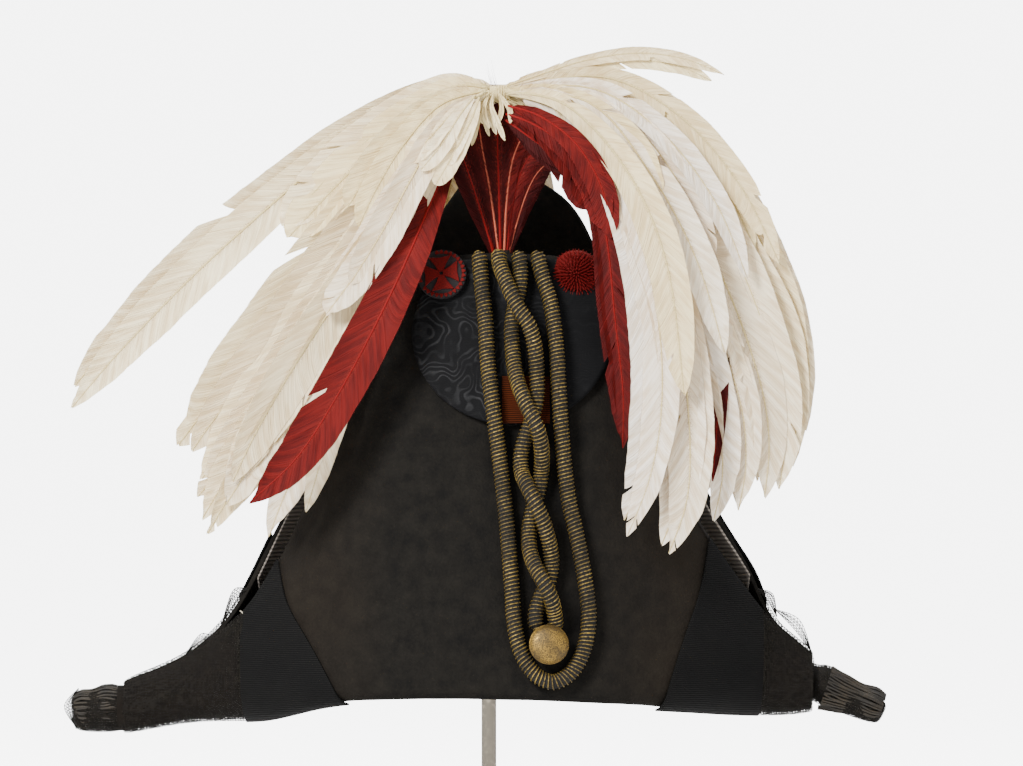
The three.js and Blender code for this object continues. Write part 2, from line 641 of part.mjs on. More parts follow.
// A turned solid about +Y, from a profile that starts and ends on the axis.
function latheGeometry(profile, sides) {
  return new THREE.LatheGeometry(profile.map((row) => new THREE.Vector2(row.radius, row.along)), sides);
}

// A ribbon round a corner, on the outside of a leaf, from its outer edge to its seam.
function ribbonSolid(leaf, outerShare, seam) {
  const columns = 5;
  const steps = RISE_STEPS.filter((rise) => rise >= FOLD_END);
  const face = (distance) => (i, j) => {
    const seamShare = tableValue(seam, "rise", "x", steps[j]);
    const station = stationAt(lerp(outerShare, seamShare, i / columns));
    return leafOffset(leaf, station, steps[j], distance);
  };
  const near = FELT / 2 + RIBBON_CLEARANCE;
  return sheetSolid(columns, steps.length - 1, face(near + RIBBON_THICKNESS), face(near));
}

// A band along the back leaf's edge, on its inner face, from one share of the length to another.
function edgeBandSolid(startShare, endShare) {
  const columns = 9;
  const rows = 2;
  const face = (distance) => (i, j) => {
    const station = stationAt(lerp(startShare, endShare, i / columns));
    const tall = leafPoint(BACK_LEAF, station, 1).z - leafPoint(BACK_LEAF, station, CREASE_END).z;
    const perMillimetre = (1 - CREASE_END) / tall;
    const low = Math.max(CREASE_END, 1 - BAND_WIDTH * perMillimetre);
    const high = 1 + BAND_OVERHANG * perMillimetre;
    return leafOffset(BACK_LEAF, station, lerp(low, high, j / rows), distance);
  };
  const near = -FELT / 2 - BAND_CLEARANCE;
  return sheetSolid(columns, rows, face(near), face(near - RIBBON_THICKNESS));
}

// A tassel along +Y: a neck inside the felt corner, then a bundle that narrows to a rounded end.
function tasselGeometry({ neck, length, diameter, end }) {
  const profile = [
    { radius: 0, along: -TASSEL_NECK_LENGTH },
    { radius: neck / 2, along: -TASSEL_NECK_LENGTH },
    { radius: neck / 2, along: 0 },
    { radius: 0.85 * (diameter / 2), along: 0.03 * length },
    { radius: diameter / 2, along: 0.12 * length },
    { radius: lerp(diameter, end, 0.4) / 2, along: 0.55 * length },
    { radius: end / 2, along: 0.93 * length },
    { radius: 0.75 * (end / 2), along: length },
    { radius: 0, along: length },
  ];
  return latheGeometry(profile, TASSEL_SIDES);
}

const COCKADE_LIFT = CLEARANCE + 0.3;
const TAB_LIFT = COCKADE_LIFT + COCKADE_THICKNESS + CLEARANCE;
const LOOP_LIFT = TAB_LIFT + TAB.thickness + CLEARANCE;
// Below the cockade the ropes come down on to the felt over this height.
const LOOP_RUN_DOWN = 24;

// The cockade: a pleated disc of silk on the front leaf, straight where it meets the leaf's edge.
function cockadeSolid() {
  const spokes = COCKADE_PLEATS * 2;
  const limit = FRONT_HEIGHT - COCKADE_TOP_GAP;
  const place = (share, spoke) => {
    const turn = (spoke / spokes) * 2 * Math.PI;
    const x = COCKADE_HALF_WIDTH * Math.cos(turn);
    const z = COCKADE_HALF_HEIGHT * Math.sin(turn);
    const shrink = Math.min(1, z > 0 ? (limit - COCKADE_CENTRE.z) / z : 1);
    return { x: COCKADE_CENTRE.x + share * shrink * x, z: COCKADE_CENTRE.z + share * shrink * z };
  };
  const pleat = (share, spoke) => 1 - (spoke % 2) * COCKADE_PLEAT_DEPTH * share;
  const front = (share, spoke) => {
    const { x, z } = place(share, spoke);
    return overFront(x, z, COCKADE_LIFT + COCKADE_THICKNESS * pleat(share, spoke));
  };
  const back = (share, spoke) => {
    const { x, z } = place(share, spoke);
    return overFront(x, z, COCKADE_LIFT);
  };
  return discSolid(spokes, 3, front, back);
}

// The orange tab between cockade and loops.
function tabSolid() {
  const face = (lift) => (i, j) =>
    overFront(TAB.x + TAB.width * (i / 2 - 0.5), TAB.z + TAB.height * (j / 2 - 0.5), lift);
  return sheetSolid(2, 2, face(TAB_LIFT + TAB.thickness), face(TAB_LIFT));
}

// A rope of the loop, laid over the front leaf and what lies on it.
function ropeGeometry(rows) {
  const radius = ROPE_DIAMETER / 2;
  const cockadeFoot = COCKADE_CENTRE.z - COCKADE_HALF_HEIGHT;
  const points = rows.map((row) => {
    const x = LOOP_CENTRE_X + LOOP_HALF_WIDTH * row.across;
    const height = LOOP_TOP - LOOP_DROP * row.down;
    const onCockade = smoothstep(height, cockadeFoot - LOOP_RUN_DOWN, cockadeFoot - ROPE_DIAMETER / 2);
    const rest = lerp(2 * CLEARANCE, LOOP_LIFT, onCockade);
    return overFront(x, height, rest + radius + row.over * (ROPE_DIAMETER + 2 * CLEARANCE));
  });
  const curve = new THREE.CatmullRomCurve3(points);
  const steps = Math.round(curve.getLength() / ROPE_STEP);
  const section = new THREE.Shape();
  for (let side = 0; side < ROPE_SIDES; side += 1) {
    const turn = (side / ROPE_SIDES) * 2 * Math.PI;
    const method = side === 0 ? "moveTo" : "lineTo";
    section[method](radius * Math.cos(turn), radius * Math.sin(turn));
  }
  return new THREE.ExtrudeGeometry(section, { steps, extrudePath: curve, bevelEnabled: false });
}

// A toothed disc with a raised cross, for the left rosette.
function crossRosetteSolid() {
  const radius = ROSETTE_LEFT.diameter / 2;
  const disc = new THREE.Shape();
  for (let tooth = 0; tooth < ROSETTE_TEETH * 2; tooth += 1) {
    const turn = (tooth / (ROSETTE_TEETH * 2)) * 2 * Math.PI;
    const reach = radius * (1 - (tooth % 2) * ROSETTE_TOOTH_DEPTH);
    const method = tooth === 0 ? "moveTo" : "lineTo";
    disc[method](reach * Math.cos(turn), reach * Math.sin(turn));
  }
  const cross = new THREE.Shape();
  const half = CROSS_SPAN / 2;
  const waist = CROSS_WAIST / 4;
  const splay = CROSS_SPLAY / 2;
  for (let arm = 0; arm < 4; arm += 1) {
    const turn = (arm * Math.PI) / 2;
    const turned = (x, y) => [
      x * Math.cos(turn) - y * Math.sin(turn),
      x * Math.sin(turn) + y * Math.cos(turn),
    ];
    const method = arm === 0 ? "moveTo" : "lineTo";
    cross[method](...turned(waist, -waist));
    cross.lineTo(...turned(half, -splay));
    cross.lineTo(...turned(half, splay));
  }
  const base = new THREE.ExtrudeGeometry(disc, { depth: ROSETTE_THICKNESS, bevelEnabled: false });
  const raised = new THREE.ExtrudeGeometry(cross, {
    depth: ROSETTE_THICKNESS + CROSS_RELIEF,
    bevelEnabled: false,
  });
  return toManifold(base).add(toManifold(raised));
}

// A domed rosette of radiating points, for the right side.
function domedRosetteSolid() {
  const spokes = ROSETTE_TEETH * 2;
  const radius = ROSETTE_RIGHT.diameter / 2;
  const place = (share, spoke, ridge) => {
    const turn = (spoke / spokes) * 2 * Math.PI;
    const tooth = 1 - (spoke % 2) * ROSETTE_TOOTH_DEPTH;
    const reach = radius * share * tooth;
    const dome = Math.sqrt(1 - 0.85 * share * share) * (share > 0 ? tooth : 1);
    const height = ridge * ROSETTE_DOME * dome;
    return new THREE.Vector3(reach * Math.cos(turn), reach * Math.sin(turn), height);
  };
  return discSolid(
    spokes,
    3,
    (share, spoke) => place(share, spoke, 1),
    (share, spoke) => place(share, spoke, 0),
  );
}

// The button: a domed head on a shank, turned about +Z, its foot at the origin.
function buttonGeometry(shankLength) {
  const radius = BUTTON.diameter / 2;
  const shank = BUTTON.shank / 2;
  const top = shankLength + BUTTON.thickness;
  const profile = [
    { radius: 0, along: 0 },
    { radius: shank, along: 0 },
    { radius: shank, along: shankLength },
    { radius: radius * 0.94, along: shankLength },
    { radius, along: lerp(shankLength, top, 0.2) },
    { radius: radius * 0.93, along: lerp(shankLength, top, 0.45) },
    { radius: radius * 0.6, along: lerp(shankLength, top, 0.84) },
    { radius: 0, along: top },
  ];
  return latheGeometry(profile, BUTTON.sides).rotateX(Math.PI / 2);
}

// A lock of feathers: a thin strip along a curve, broad side towards "facing". width is a share.
function lockSolid(points, width, facing) {
  const curve = new THREE.CatmullRomCurve3(points, false, "centripetal");
  const rings = [];
  for (let step = 0; step <= LOCK_STEPS; step += 1) {
    const along = step / LOCK_STEPS;
    const centre = curve.getPoint(along);
    const tangent = curve.getTangent(along);
    const across = facing.isAcross
      ? facing.direction.clone().addScaledVector(tangent, -facing.direction.dot(tangent)).normalize()
      : new THREE.Vector3().crossVectors(tangent, facing.direction).normalize();
    const normal = new THREE.Vector3().crossVectors(across, tangent);
    const half = ((LOCK_WIDTH * width) / 2) * tableValue(LOCK_FORM, "along", "width", along);
    const thick = (LOCK_THICKNESS / 2) * lerp(1, LOCK_TIP_THINNING, along);
    const corner = (w, t) =>
      centre.clone().addScaledVector(across, w * half).addScaledVector(normal, t * thick);
    rings.push([corner(1, 0), corner(0, 1), corner(-1, 0), corner(0, -1)]);
  }
  return ringSolid(rings);
}

// A point of the plume: x and fall as in the tables, forward from the stem.
function plumePoint(x, fall, forward) {
  return new THREE.Vector3(
    PLUME_X + PLUME_REACH * x,
    STEM_Y - HALF_DEPTH * forward,
    RIM_HEIGHT + PLUME_HEIGHT - PLUME_FALL * fall,
  );
}

// A small oval head that holds the roots of a group of locks.
function headSolid(centre, radii) {
  const ball = new THREE.SphereGeometry(1, 10, 7);
  ball.scale(...radii);
  ball.translate(centre.x, centre.y, centre.z);
  return toManifold(ball);
}

// A group of locks fused to its head.
function lockGroup(rows, centre, radii, facing) {
  let group = headSolid(centre, radii);
  for (const row of rows) {
    const path = row.path.map(([x, fall, forward]) => plumePoint(x, fall, forward));
    const root = centre.clone().lerp(path[0], LOCK_ROOT_SHARE);
    group = group.add(lockSolid([root, ...path], row.width, facing));
  }
  return group;
}

// The stem stands just behind the front leaf's edge.
const STEM_Y = overFront(PLUME_X, FRONT_HEIGHT, -FELT).y + CLEARANCE + PLUME_STEM_DIAMETER / 2;
const FACE_FRONT = { direction: new THREE.Vector3(0, -1, 0), isAcross: false };
const ACROSS_X = { direction: new THREE.Vector3(1, 0, 0), isAcross: true };

// Stem, spray and red locks of the plume.
function redPlumeSolid() {
  const crest = RIM_HEIGHT + PLUME_HEIGHT;
  const base = new THREE.Vector3(PLUME_X, STEM_Y, RIM_HEIGHT + FRONT_HEIGHT + 1);
  const headCentre = new THREE.Vector3(PLUME_X, STEM_Y, crest - RED_HEAD_DROP);
  const radii = [HEAD_HALF, RED_HEAD_DEPTH, HEAD_HALF];
  let group = lockGroup(RED_LOCKS, headCentre, radii, FACE_FRONT);
  const stemRadius = PLUME_STEM_DIAMETER / 2;
  const stemLength = base.z + stemRadius - RIM_HEIGHT - PLUME_STEM_FOOT;
  const stem = new THREE.CylinderGeometry(stemRadius, stemRadius, stemLength, 12);
  stem.rotateX(Math.PI / 2);
  stem.translate(PLUME_X, STEM_Y, RIM_HEIGHT + PLUME_STEM_FOOT + stemLength / 2);
  group = group.add(toManifold(stem));
  for (const row of RED_SPRAY) {
    const tipZ = lerp(base.z, headCentre.z, row.rise);
    const tip = new THREE.Vector3(PLUME_X + PLUME_REACH * row.x, STEM_Y, tipZ);
    const middle = base.clone().lerp(tip, 0.5);
    middle.x = lerp(base.x, tip.x, 0.3);
    group = group.add(lockSolid([base, middle, tip], row.width, FACE_FRONT));
  }
  return group;
}

// White locks in front, to one side.
function whiteSideSolid(rows, side) {
  const centre = plumePoint(0, 0, PLUME_FORWARD / HALF_DEPTH);
  centre.x += side * (HEAD_HALF + CLEARANCE / 2);
  return lockGroup(rows, centre, [HEAD_HALF, HEAD_DEPTH, HEAD_HALF], FACE_FRONT);
}

// White locks that fall behind the back leaf.
function whiteBackSolid() {
  const centre = plumePoint(0, 0, 0);
  centre.y += RED_HEAD_DEPTH + HEAD_DEPTH + CLEARANCE;
  centre.z -= RED_HEAD_DROP;
  return lockGroup(WHITE_BACK_LOCKS, centre, [HEAD_HALF, HEAD_DEPTH, HEAD_HALF], ACROSS_X);
}

// The post with its pad, which fits under the crown's top.
function postGeometry() {
  const radius = POST_DIAMETER / 2;
  const padRadius = PAD_DIAMETER / 2;
  const padTop = RIM_HEIGHT + CROWN_WALL / 2 + CROWN_HEIGHT - CROWN_WALL - PAD_CLEARANCE;
  const share = Math.pow(padRadius / (CROWN_HALF_WIDTH - CROWN_WALL), 1 / CROWN_FULLNESS);
  const domeDrop = (CROWN_HEIGHT - CROWN_WALL) * (1 - Math.sqrt(1 - share * share));
  const padEdge = padTop - domeDrop - 2 * PAD_CLEARANCE;
  const profile = [
    { radius: 0, along: BASE_THICKNESS + CLEARANCE },
    { radius, along: BASE_THICKNESS + CLEARANCE },
    { radius, along: padEdge - PAD_THICKNESS },
    { radius: padRadius, along: padEdge - PAD_THICKNESS },
    { radius: padRadius, along: padEdge },
    { radius: padRadius * 0.6, along: lerp(padEdge, padTop, 0.55) },
    { radius: 0, along: padTop },
  ];
  return latheGeometry(profile, 24).rotateX(Math.PI / 2);
}

// The base plate, a square with rounded corners.
function baseGeometry() {
  const half = BASE_SIDE / 2;
  const shape = new THREE.Shape();
  for (const [sx, sy, start] of [[1, 1, 0], [-1, 1, 0.5], [-1, -1, 1], [1, -1, 1.5]]) {
    const centreX = sx * (half - BASE_CORNER);
    const centreY = sy * (half - BASE_CORNER);
    shape.absarc(centreX, centreY, BASE_CORNER, start * Math.PI, (start + 0.5) * Math.PI, false);
  }
  shape.closePath();
  return new THREE.ExtrudeGeometry(shape, { depth: BASE_THICKNESS, bevelEnabled: false, curveSegments: 4 });
}

const felt = new THREE.MeshStandardMaterial({ color: 0x2b2826, roughness: 0.95, metalness: 0 });
const silk = new THREE.MeshStandardMaterial({ color: 0x1b1b1d, roughness: 0.5, metalness: 0 });
const ribbon = new THREE.MeshStandardMaterial({ color: 0x222223, roughness: 0.8, metalness: 0 });
const redSilk = new THREE.MeshStandardMaterial({ color: 0x9e2a24, roughness: 0.7, metalness: 0 });
const orangeSilk = new THREE.MeshStandardMaterial({ color: 0xb2601e, roughness: 0.7, metalness: 0 });
const bullion = new THREE.MeshStandardMaterial({ color: 0x7d6c3c, roughness: 0.45, metalness: 0.8 });
const gilt = new THREE.MeshStandardMaterial({ color: 0x9a8240, roughness: 0.35, metalness: 0.9 });
const whiteFeather = new THREE.MeshStandardMaterial({ color: 0xe4dccb, roughness: 0.8, metalness: 0 });
const redFeather = new THREE.MeshStandardMaterial({ color: 0xa33330, roughness: 0.8, metalness: 0 });
const steel = new THREE.MeshStandardMaterial({ color: 0x97938c, roughness: 0.35, metalness: 1 });

const hat = new THREE.Group();

// Adds one named piece to the hat.
function addPiece(name, shape, material) {
  const geometry = shape.isBufferGeometry ? shape : toGeometry(shape);
  const mesh = new THREE.Mesh(geometry, material);
  mesh.name = name;
  hat.add(mesh);
  return mesh;
}

// Stands a piece that was made on the XY plane up on the front leaf.
function seatOnFront(mesh, x, height, lift) {
  const foot = overFront(x, height, lift);
  const outward = overFront(x, height, lift + 1).sub(foot).normalize();
  mesh.position.copy(foot);
  const right = new THREE.Vector3(1, 0, 0).addScaledVector(outward, -outward.x).normalize();
  const up = new THREE.Vector3().crossVectors(outward, right);
  mesh.quaternion.setFromRotationMatrix(new THREE.Matrix4().makeBasis(right, up, outward));
}

// Turns a tassel that was made along +Y to point outwards from the corner on one side.
function seatTassel(mesh, { height, droop, corner }, side) {
  const direction = new THREE.Vector3(side, 0, -droop).normalize();
  mesh.position.set(HAT_CENTRE_X + side * (HALF_LENGTH * corner + CORNER_GAP), 0, RIM_HEIGHT + height);
  mesh.quaternion.setFromUnitVectors(new THREE.Vector3(0, 1, 0), direction);
}

addPiece("crown", crownSolid(), felt);
addPiece("front_leaf", leafSolid(FRONT_LEAF), felt);
addPiece("back_leaf", leafSolid(BACK_LEAF), felt);

addPiece("ribbon_left_front", ribbonSolid(FRONT_LEAF, RIBBON_OUTER_LEFT, RIBBON_SEAM_LEFT), ribbon);
addPiece("ribbon_left_back", ribbonSolid(BACK_LEAF, RIBBON_OUTER_LEFT, RIBBON_SEAM_LEFT), ribbon);
addPiece("ribbon_right_front", ribbonSolid(FRONT_LEAF, RIBBON_OUTER_RIGHT, RIBBON_SEAM_RIGHT), ribbon);
addPiece("ribbon_right_back", ribbonSolid(BACK_LEAF, RIBBON_OUTER_RIGHT, RIBBON_SEAM_RIGHT), ribbon);
addPiece("edge_band_left", edgeBandSolid(-0.74, -0.38), ribbon);
addPiece("edge_band_right", edgeBandSolid(0.46, 0.79), ribbon);

seatTassel(addPiece("tassel_left", tasselGeometry(TASSEL_LEFT), bullion), TASSEL_LEFT, -1);
seatTassel(addPiece("tassel_right", tasselGeometry(TASSEL_RIGHT), bullion), TASSEL_RIGHT, 1);

addPiece("cockade", cockadeSolid(), silk);
addPiece("loop_tab", tabSolid(), orangeSilk);
const rosetteLeft = addPiece("rosette_left", crossRosetteSolid(), redSilk);
const rosetteRight = addPiece("rosette_right", domedRosetteSolid(), redSilk);
const rosetteLift = COCKADE_LIFT + COCKADE_THICKNESS + 2 * CLEARANCE;
seatOnFront(rosetteLeft, ROSETTE_LEFT.x, ROSETTE_LEFT.z, rosetteLift);
seatOnFront(rosetteRight, ROSETTE_RIGHT.x, ROSETTE_RIGHT.z, rosetteLift);

addPiece("loop_outer", ropeGeometry(OUTER_LOOP_ROWS), bullion);
addPiece("loop_inner_a", ropeGeometry(INNER_LOOP_A_ROWS), bullion);
addPiece("loop_inner_b", ropeGeometry(INNER_LOOP_B_ROWS), bullion);
const button = addPiece("button", buttonGeometry(ROPE_DIAMETER + 3 * CLEARANCE), gilt);
const buttonX = LOOP_CENTRE_X + LOOP_HALF_WIDTH * BUTTON.across;
seatOnFront(button, buttonX, LOOP_TOP - LOOP_DROP * BUTTON.down, CLEARANCE);

addPiece("plume_red", redPlumeSolid(), redFeather);
addPiece("plume_left", whiteSideSolid(WHITE_LEFT_LOCKS, -1), whiteFeather);
addPiece("plume_right", whiteSideSolid(WHITE_RIGHT_LOCKS, 1), whiteFeather);
addPiece("plume_back", whiteBackSolid(), whiteFeather);

addPiece("stand_post", postGeometry(), steel);
addPiece("stand_base", baseGeometry(), steel);

export default hat;
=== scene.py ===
"""Final look of a cocked hat with a falling feather plume, on a plain steel stand.

Metres, +Z up. The front leaf with its cockade faces -Y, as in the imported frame.
"""

import logging
import math
import random
from collections.abc import Iterator
from contextlib import contextmanager
from dataclasses import dataclass, field, replace
from enum import Enum

import bmesh
import bpy
from mathutils import Matrix, Vector


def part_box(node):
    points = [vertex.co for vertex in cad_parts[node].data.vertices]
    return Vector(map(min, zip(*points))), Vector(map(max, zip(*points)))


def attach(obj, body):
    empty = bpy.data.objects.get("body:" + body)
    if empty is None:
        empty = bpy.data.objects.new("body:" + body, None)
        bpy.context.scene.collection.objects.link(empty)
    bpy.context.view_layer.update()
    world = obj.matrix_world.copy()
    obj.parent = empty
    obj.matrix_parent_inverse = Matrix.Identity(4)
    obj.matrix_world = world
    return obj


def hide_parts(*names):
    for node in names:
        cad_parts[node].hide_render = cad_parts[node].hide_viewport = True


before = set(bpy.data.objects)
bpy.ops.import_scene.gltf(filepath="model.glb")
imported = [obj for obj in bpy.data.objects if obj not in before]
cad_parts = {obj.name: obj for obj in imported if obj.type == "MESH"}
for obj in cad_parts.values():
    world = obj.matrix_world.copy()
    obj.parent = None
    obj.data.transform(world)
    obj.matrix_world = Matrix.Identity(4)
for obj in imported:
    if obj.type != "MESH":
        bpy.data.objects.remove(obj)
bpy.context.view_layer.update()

logging.basicConfig(level=logging.INFO, format="%(message)s")
log = logging.getLogger("cocked_hat")

MM = 0.001
MERGE = 0.00001
CURVE_STEPS = 12
RIM_HEIGHT = 120.0
STEM_Y = -33.9
GRID_STEP = 0.54
GRID_ZERO = (489.0, 692.0)
GRID_WIDTH = 1023
FACING = Vector((0.0, -1.0, 0.0))

Colour = tuple[float, float, float, float]
Pair = tuple[float, float]


class Side(Enum):
    """The two ends of the hat, as seen from the front."""

    LEFT = -1
    RIGHT = 1


class VaneStyle(Enum):
    """How a feather's barbs hold together."""

    BROAD = "broad"
    LOOSE = "loose"


# Finishes


class Board:
    """The nodes of one material or node group, with short ways to add and join them."""

    def __init__(self, tree: bpy.types.NodeTree) -> None:
        """Keep the tree that nodes are added to."""
        self.tree = tree

    def add(self, kind: str, settings: dict | None = None, **inputs: object) -> bpy.types.Node:
        """Add a node.

        Args:
            kind: The node's Blender type.
            settings: Properties of the node itself.
            inputs: A value or an output socket for each input, with _ for a space in its name.

        Returns:
            The new node.
        """
        node = self.tree.nodes.new(kind)
        for key, value in (settings or {}).items():
            setattr(node, key, value)
        for key, value in inputs.items():
            self.feed(node.inputs[key.replace("_", " ")], value)
        return node

    def feed(self, socket: bpy.types.NodeSocket, value: object) -> None:
        """Link an output socket to an input, or set the input's own value.

        Args:
            socket: The input.
            value: An output socket, or the value to set.
        """
        if isinstance(value, bpy.types.NodeSocket):
            self.tree.links.new(value, socket)
        else:
            socket.default_value = value

    def noise(self, vector: object, scale: object, detail: float) -> bpy.types.NodeSocket:
        """Return the value of a noise texture over a vector."""
        node = self.add("ShaderNodeTexNoise", Vector=vector, Scale=scale, Detail=detail)
        return node.outputs[0]

    def math(self, operation: str, first: object, second: object = 0.0) -> bpy.types.NodeSocket:
        """Return the result of a math node.

        Args:
            operation: What the node does.
            first: Its first value or output socket.
            second: Its second one, where the operation has two.

        Returns:
            The result's socket.
        """
        node = self.add("ShaderNodeMath", {"operation": operation})
        self.feed(node.inputs[0], first)
        self.feed(node.inputs[1], second)
        return node.outputs[0]

    def span(self, value: object, low: float, high: float, to_low: float,
             to_high: float) -> bpy.types.NodeSocket:
        """Move a value from one range to another, and hold it inside.

        Args:
            value: The value's socket.
            low: The first range's start.
            high: The first range's end.
            to_low: The second range's start.
            to_high: The second range's end.

        Returns:
            The moved value's socket.
        """
        node = self.add("ShaderNodeMapRange", Value=value, From_Min=low, From_Max=high,
                        To_Min=to_low, To_Max=to_high)
        return node.outputs[0]

    def blend(self, share: object, first: object, second: object, mode: str = "MIX") -> bpy.types.NodeSocket:
        """Return two colours mixed by a share.

        Args:
            share: The second colour's share.
            first: The first colour.
            second: The second colour.
            mode: How the second one is laid over the first.

        Returns:
            The mixed colour's socket.
        """
        node = self.add("ShaderNodeMix", {"data_type": "RGBA", "blend_type": mode})
        self.feed(node.inputs[0], share)
        self.feed(node.inputs[6], first)
        self.feed(node.inputs[7], second)
        return node.outputs[2]

    def group(self, tree: bpy.types.NodeTree, **inputs: object) -> bpy.types.Node:
        """Return a node of a shared effect with its own values."""
        return self.add("ShaderNodeGroup", {"node_tree": tree}, **inputs)

    def bump(self, height: object, distance: float, strength: float) -> bpy.types.NodeSocket:
        """Return the normal of a bump whose full height is a distance in metres."""
        node = self.add("ShaderNodeBump", Height=height, Distance=distance, Strength=strength)
        return node.outputs[0]

    def mix(self, share: object, first: bpy.types.Node, second: bpy.types.Node) -> bpy.types.Node:
        """Return the mix of two shaders.

        Args:
            share: The second shader's share.
            first: The first shader.
            second: The second shader.

        Returns:
            The mixed shader.
        """
        node = self.add("ShaderNodeMixShader")
        self.feed(node.inputs[0], share)
        self.feed(node.inputs[1], first.outputs[0])
        self.feed(node.inputs[2], second.outputs[0])
        return node

    def surface(self, shader: bpy.types.Node) -> None:
        """Make a shader the material's surface."""
        self.feed(self.tree.nodes["Material Output"].inputs["Surface"], shader.outputs[0])


def new_group(name: str, inputs: dict[str, float],
              outputs: list[str]) -> tuple[Board, bpy.types.Node, bpy.types.Node]:
    """Start a shared effect that reads a vector and some values.

    Args:
        name: The group's name.
        inputs: Each value's name with its usual amount.
        outputs: The names of the values that it puts out.

    Returns:
        The board, the input node and the output node.
    """
    tree = bpy.data.node_groups.new(name, "ShaderNodeTree")
    tree.interface.new_socket(name="Vector", in_out="INPUT", socket_type="NodeSocketVector")
    for key, amount in inputs.items():
        socket = tree.interface.new_socket(name=key, in_out="INPUT", socket_type="NodeSocketFloat")
        socket.default_value = amount
    for key in outputs:
        tree.interface.new_socket(name=key, in_out="OUTPUT", socket_type="NodeSocketFloat")
    return Board(tree), tree.nodes.new("NodeGroupInput"), tree.nodes.new("NodeGroupOutput")


def nap_group() -> bpy.types.NodeTree:
    """Build the fine nap and the worn patches of cloth.

    Returns:
        The effect, with Nap and Patches.
    """
    board, read, put = new_group("cloth_nap", {"Fine Scale": 900.0, "Patch Scale": 18.0}, ["Nap", "Patches"])
    fine = board.noise(read.outputs["Vector"], read.outputs["Fine Scale"], 4.0)
    patch = board.noise(read.outputs["Vector"], read.outputs["Patch Scale"], 4.0)
    board.feed(put.inputs["Nap"], fine)
    board.feed(put.inputs["Patches"], board.span(patch, 0.35, 0.7, 0.0, 1.0))
    return board.tree


def rib_group() -> bpy.types.NodeTree:
    """Build level ribs that run across a ribbon, slightly uneven.

    Returns:
        The effect, with Rib.
    """
    board, read, put = new_group("silk_ribs", {"Ribs per Metre": 800.0, "Wander": 0.0012}, ["Rib"])
    parts = board.add("ShaderNodeSeparateXYZ", Vector=read.outputs["Vector"])
    drift = board.math("SUBTRACT", board.noise(read.outputs["Vector"], 40.0, 2.0), 0.5)
    height = board.math("ADD", parts.outputs[2], board.math("MULTIPLY", drift, read.outputs["Wander"]))
    turn_per_metre = board.math("MULTIPLY", read.outputs["Ribs per Metre"], 2.0 * math.pi)
    turn = board.math("MULTIPLY", height, turn_per_metre)
    board.feed(put.inputs["Rib"], board.span(board.math("SINE", turn), -1.0, 1.0, 0.0, 1.0))
    return board.tree


def barb_group() -> bpy.types.NodeTree:
    """Build a feather's barb lines and its frayed edge, read from its own map.

    Returns:
        The effect, with Line, Streak and Cover.
    """
    board, read, put = new_group("feather_barbs", {"Fray": 0.3}, ["Line", "Streak", "Cover"])
    parts = board.add("ShaderNodeSeparateXYZ", Vector=read.outputs["Vector"])
    along = board.add("ShaderNodeCombineXYZ", X=parts.outputs[0], Y=0.0, Z=0.0)
    row = board.add("ShaderNodeCombineXYZ", X=board.math("MULTIPLY", parts.outputs[0], 0.16),
                    Y=board.math("MULTIPLY", parts.outputs[1], 0.7))
    line = board.noise(along.outputs[0], 0.9, 2.0)
    streak = board.noise(row.outputs[0], 1.3, 3.0)
    reach = board.math("ADD", parts.outputs[1], board.math("MULTIPLY", line, read.outputs["Fray"]))
    board.feed(put.inputs["Line"], line)
    board.feed(put.inputs["Streak"], streak)
    board.feed(put.inputs["Cover"], board.span(reach, 1.0, 1.05, 1.0, 0.0))
    return board.tree


def tarnish_group() -> bpy.types.NodeTree:
    """Build the speckle and the tarnished patches of old metal thread.

    Returns:
        The effect, with Speckle and Tarnish.
    """
    scales = {"Speckle Scale": 700.0, "Patch Scale": 60.0}
    board, read, put = new_group("metal_tarnish", scales, ["Speckle", "Tarnish"])
    speckle = board.noise(read.outputs["Vector"], read.outputs["Speckle Scale"], 3.0)
    patch = board.noise(read.outputs["Vector"], read.outputs["Patch Scale"], 4.0)
    board.feed(put.inputs["Speckle"], board.span(speckle, 0.35, 0.65, 0.0, 1.0))
    board.feed(put.inputs["Tarnish"], board.span(patch, 0.38, 0.66, 0.0, 1.0))
    return board.tree


NAP = nap_group()
RIBS = rib_group()
BARBS = barb_group()
TARNISH = tarnish_group()


def shade(red: int, green: int, blue: int) -> Colour:
    """Return a colour given as it is seen on a screen, as linear light.

    Args:
        red: The red channel, from 0 to 255.
        green: The green channel.
        blue: The blue channel.

    Returns:
        The colour, which hides all behind it.
    """
    def linear(part: int) -> float:
        """Return one channel as linear light."""
        value = part / 255.0
        return value / 12.92 if value <= 0.04045 else ((value + 0.055) / 1.055) ** 2.4
    return (linear(red), linear(green), linear(blue), 1.0)


@dataclass(frozen=True)
class Finish:
    """What every finish has: a name and a roughness."""

    name: str
    roughness: float = 0.8

    def build(self) -> bpy.types.Material:
        """Make the material.

        Returns:
            The material, painted.
        """
        material = bpy.data.materials.new(self.name)
        material.use_nodes = True
        shader = material.node_tree.nodes["Principled BSDF"]
        shader.inputs["Roughness"].default_value = self.roughness
        self.paint(Board(material.node_tree), shader)
        return material

    def paint(self, board: Board, shader: bpy.types.Node) -> None:
        """Add the finish's own nodes, in each kind of finish."""
        raise NotImplementedError

    def place(self, board: Board) -> bpy.types.NodeSocket:
        """Return the place on the object, in metres."""
        return board.add("ShaderNodeTexCoord").outputs["Object"]


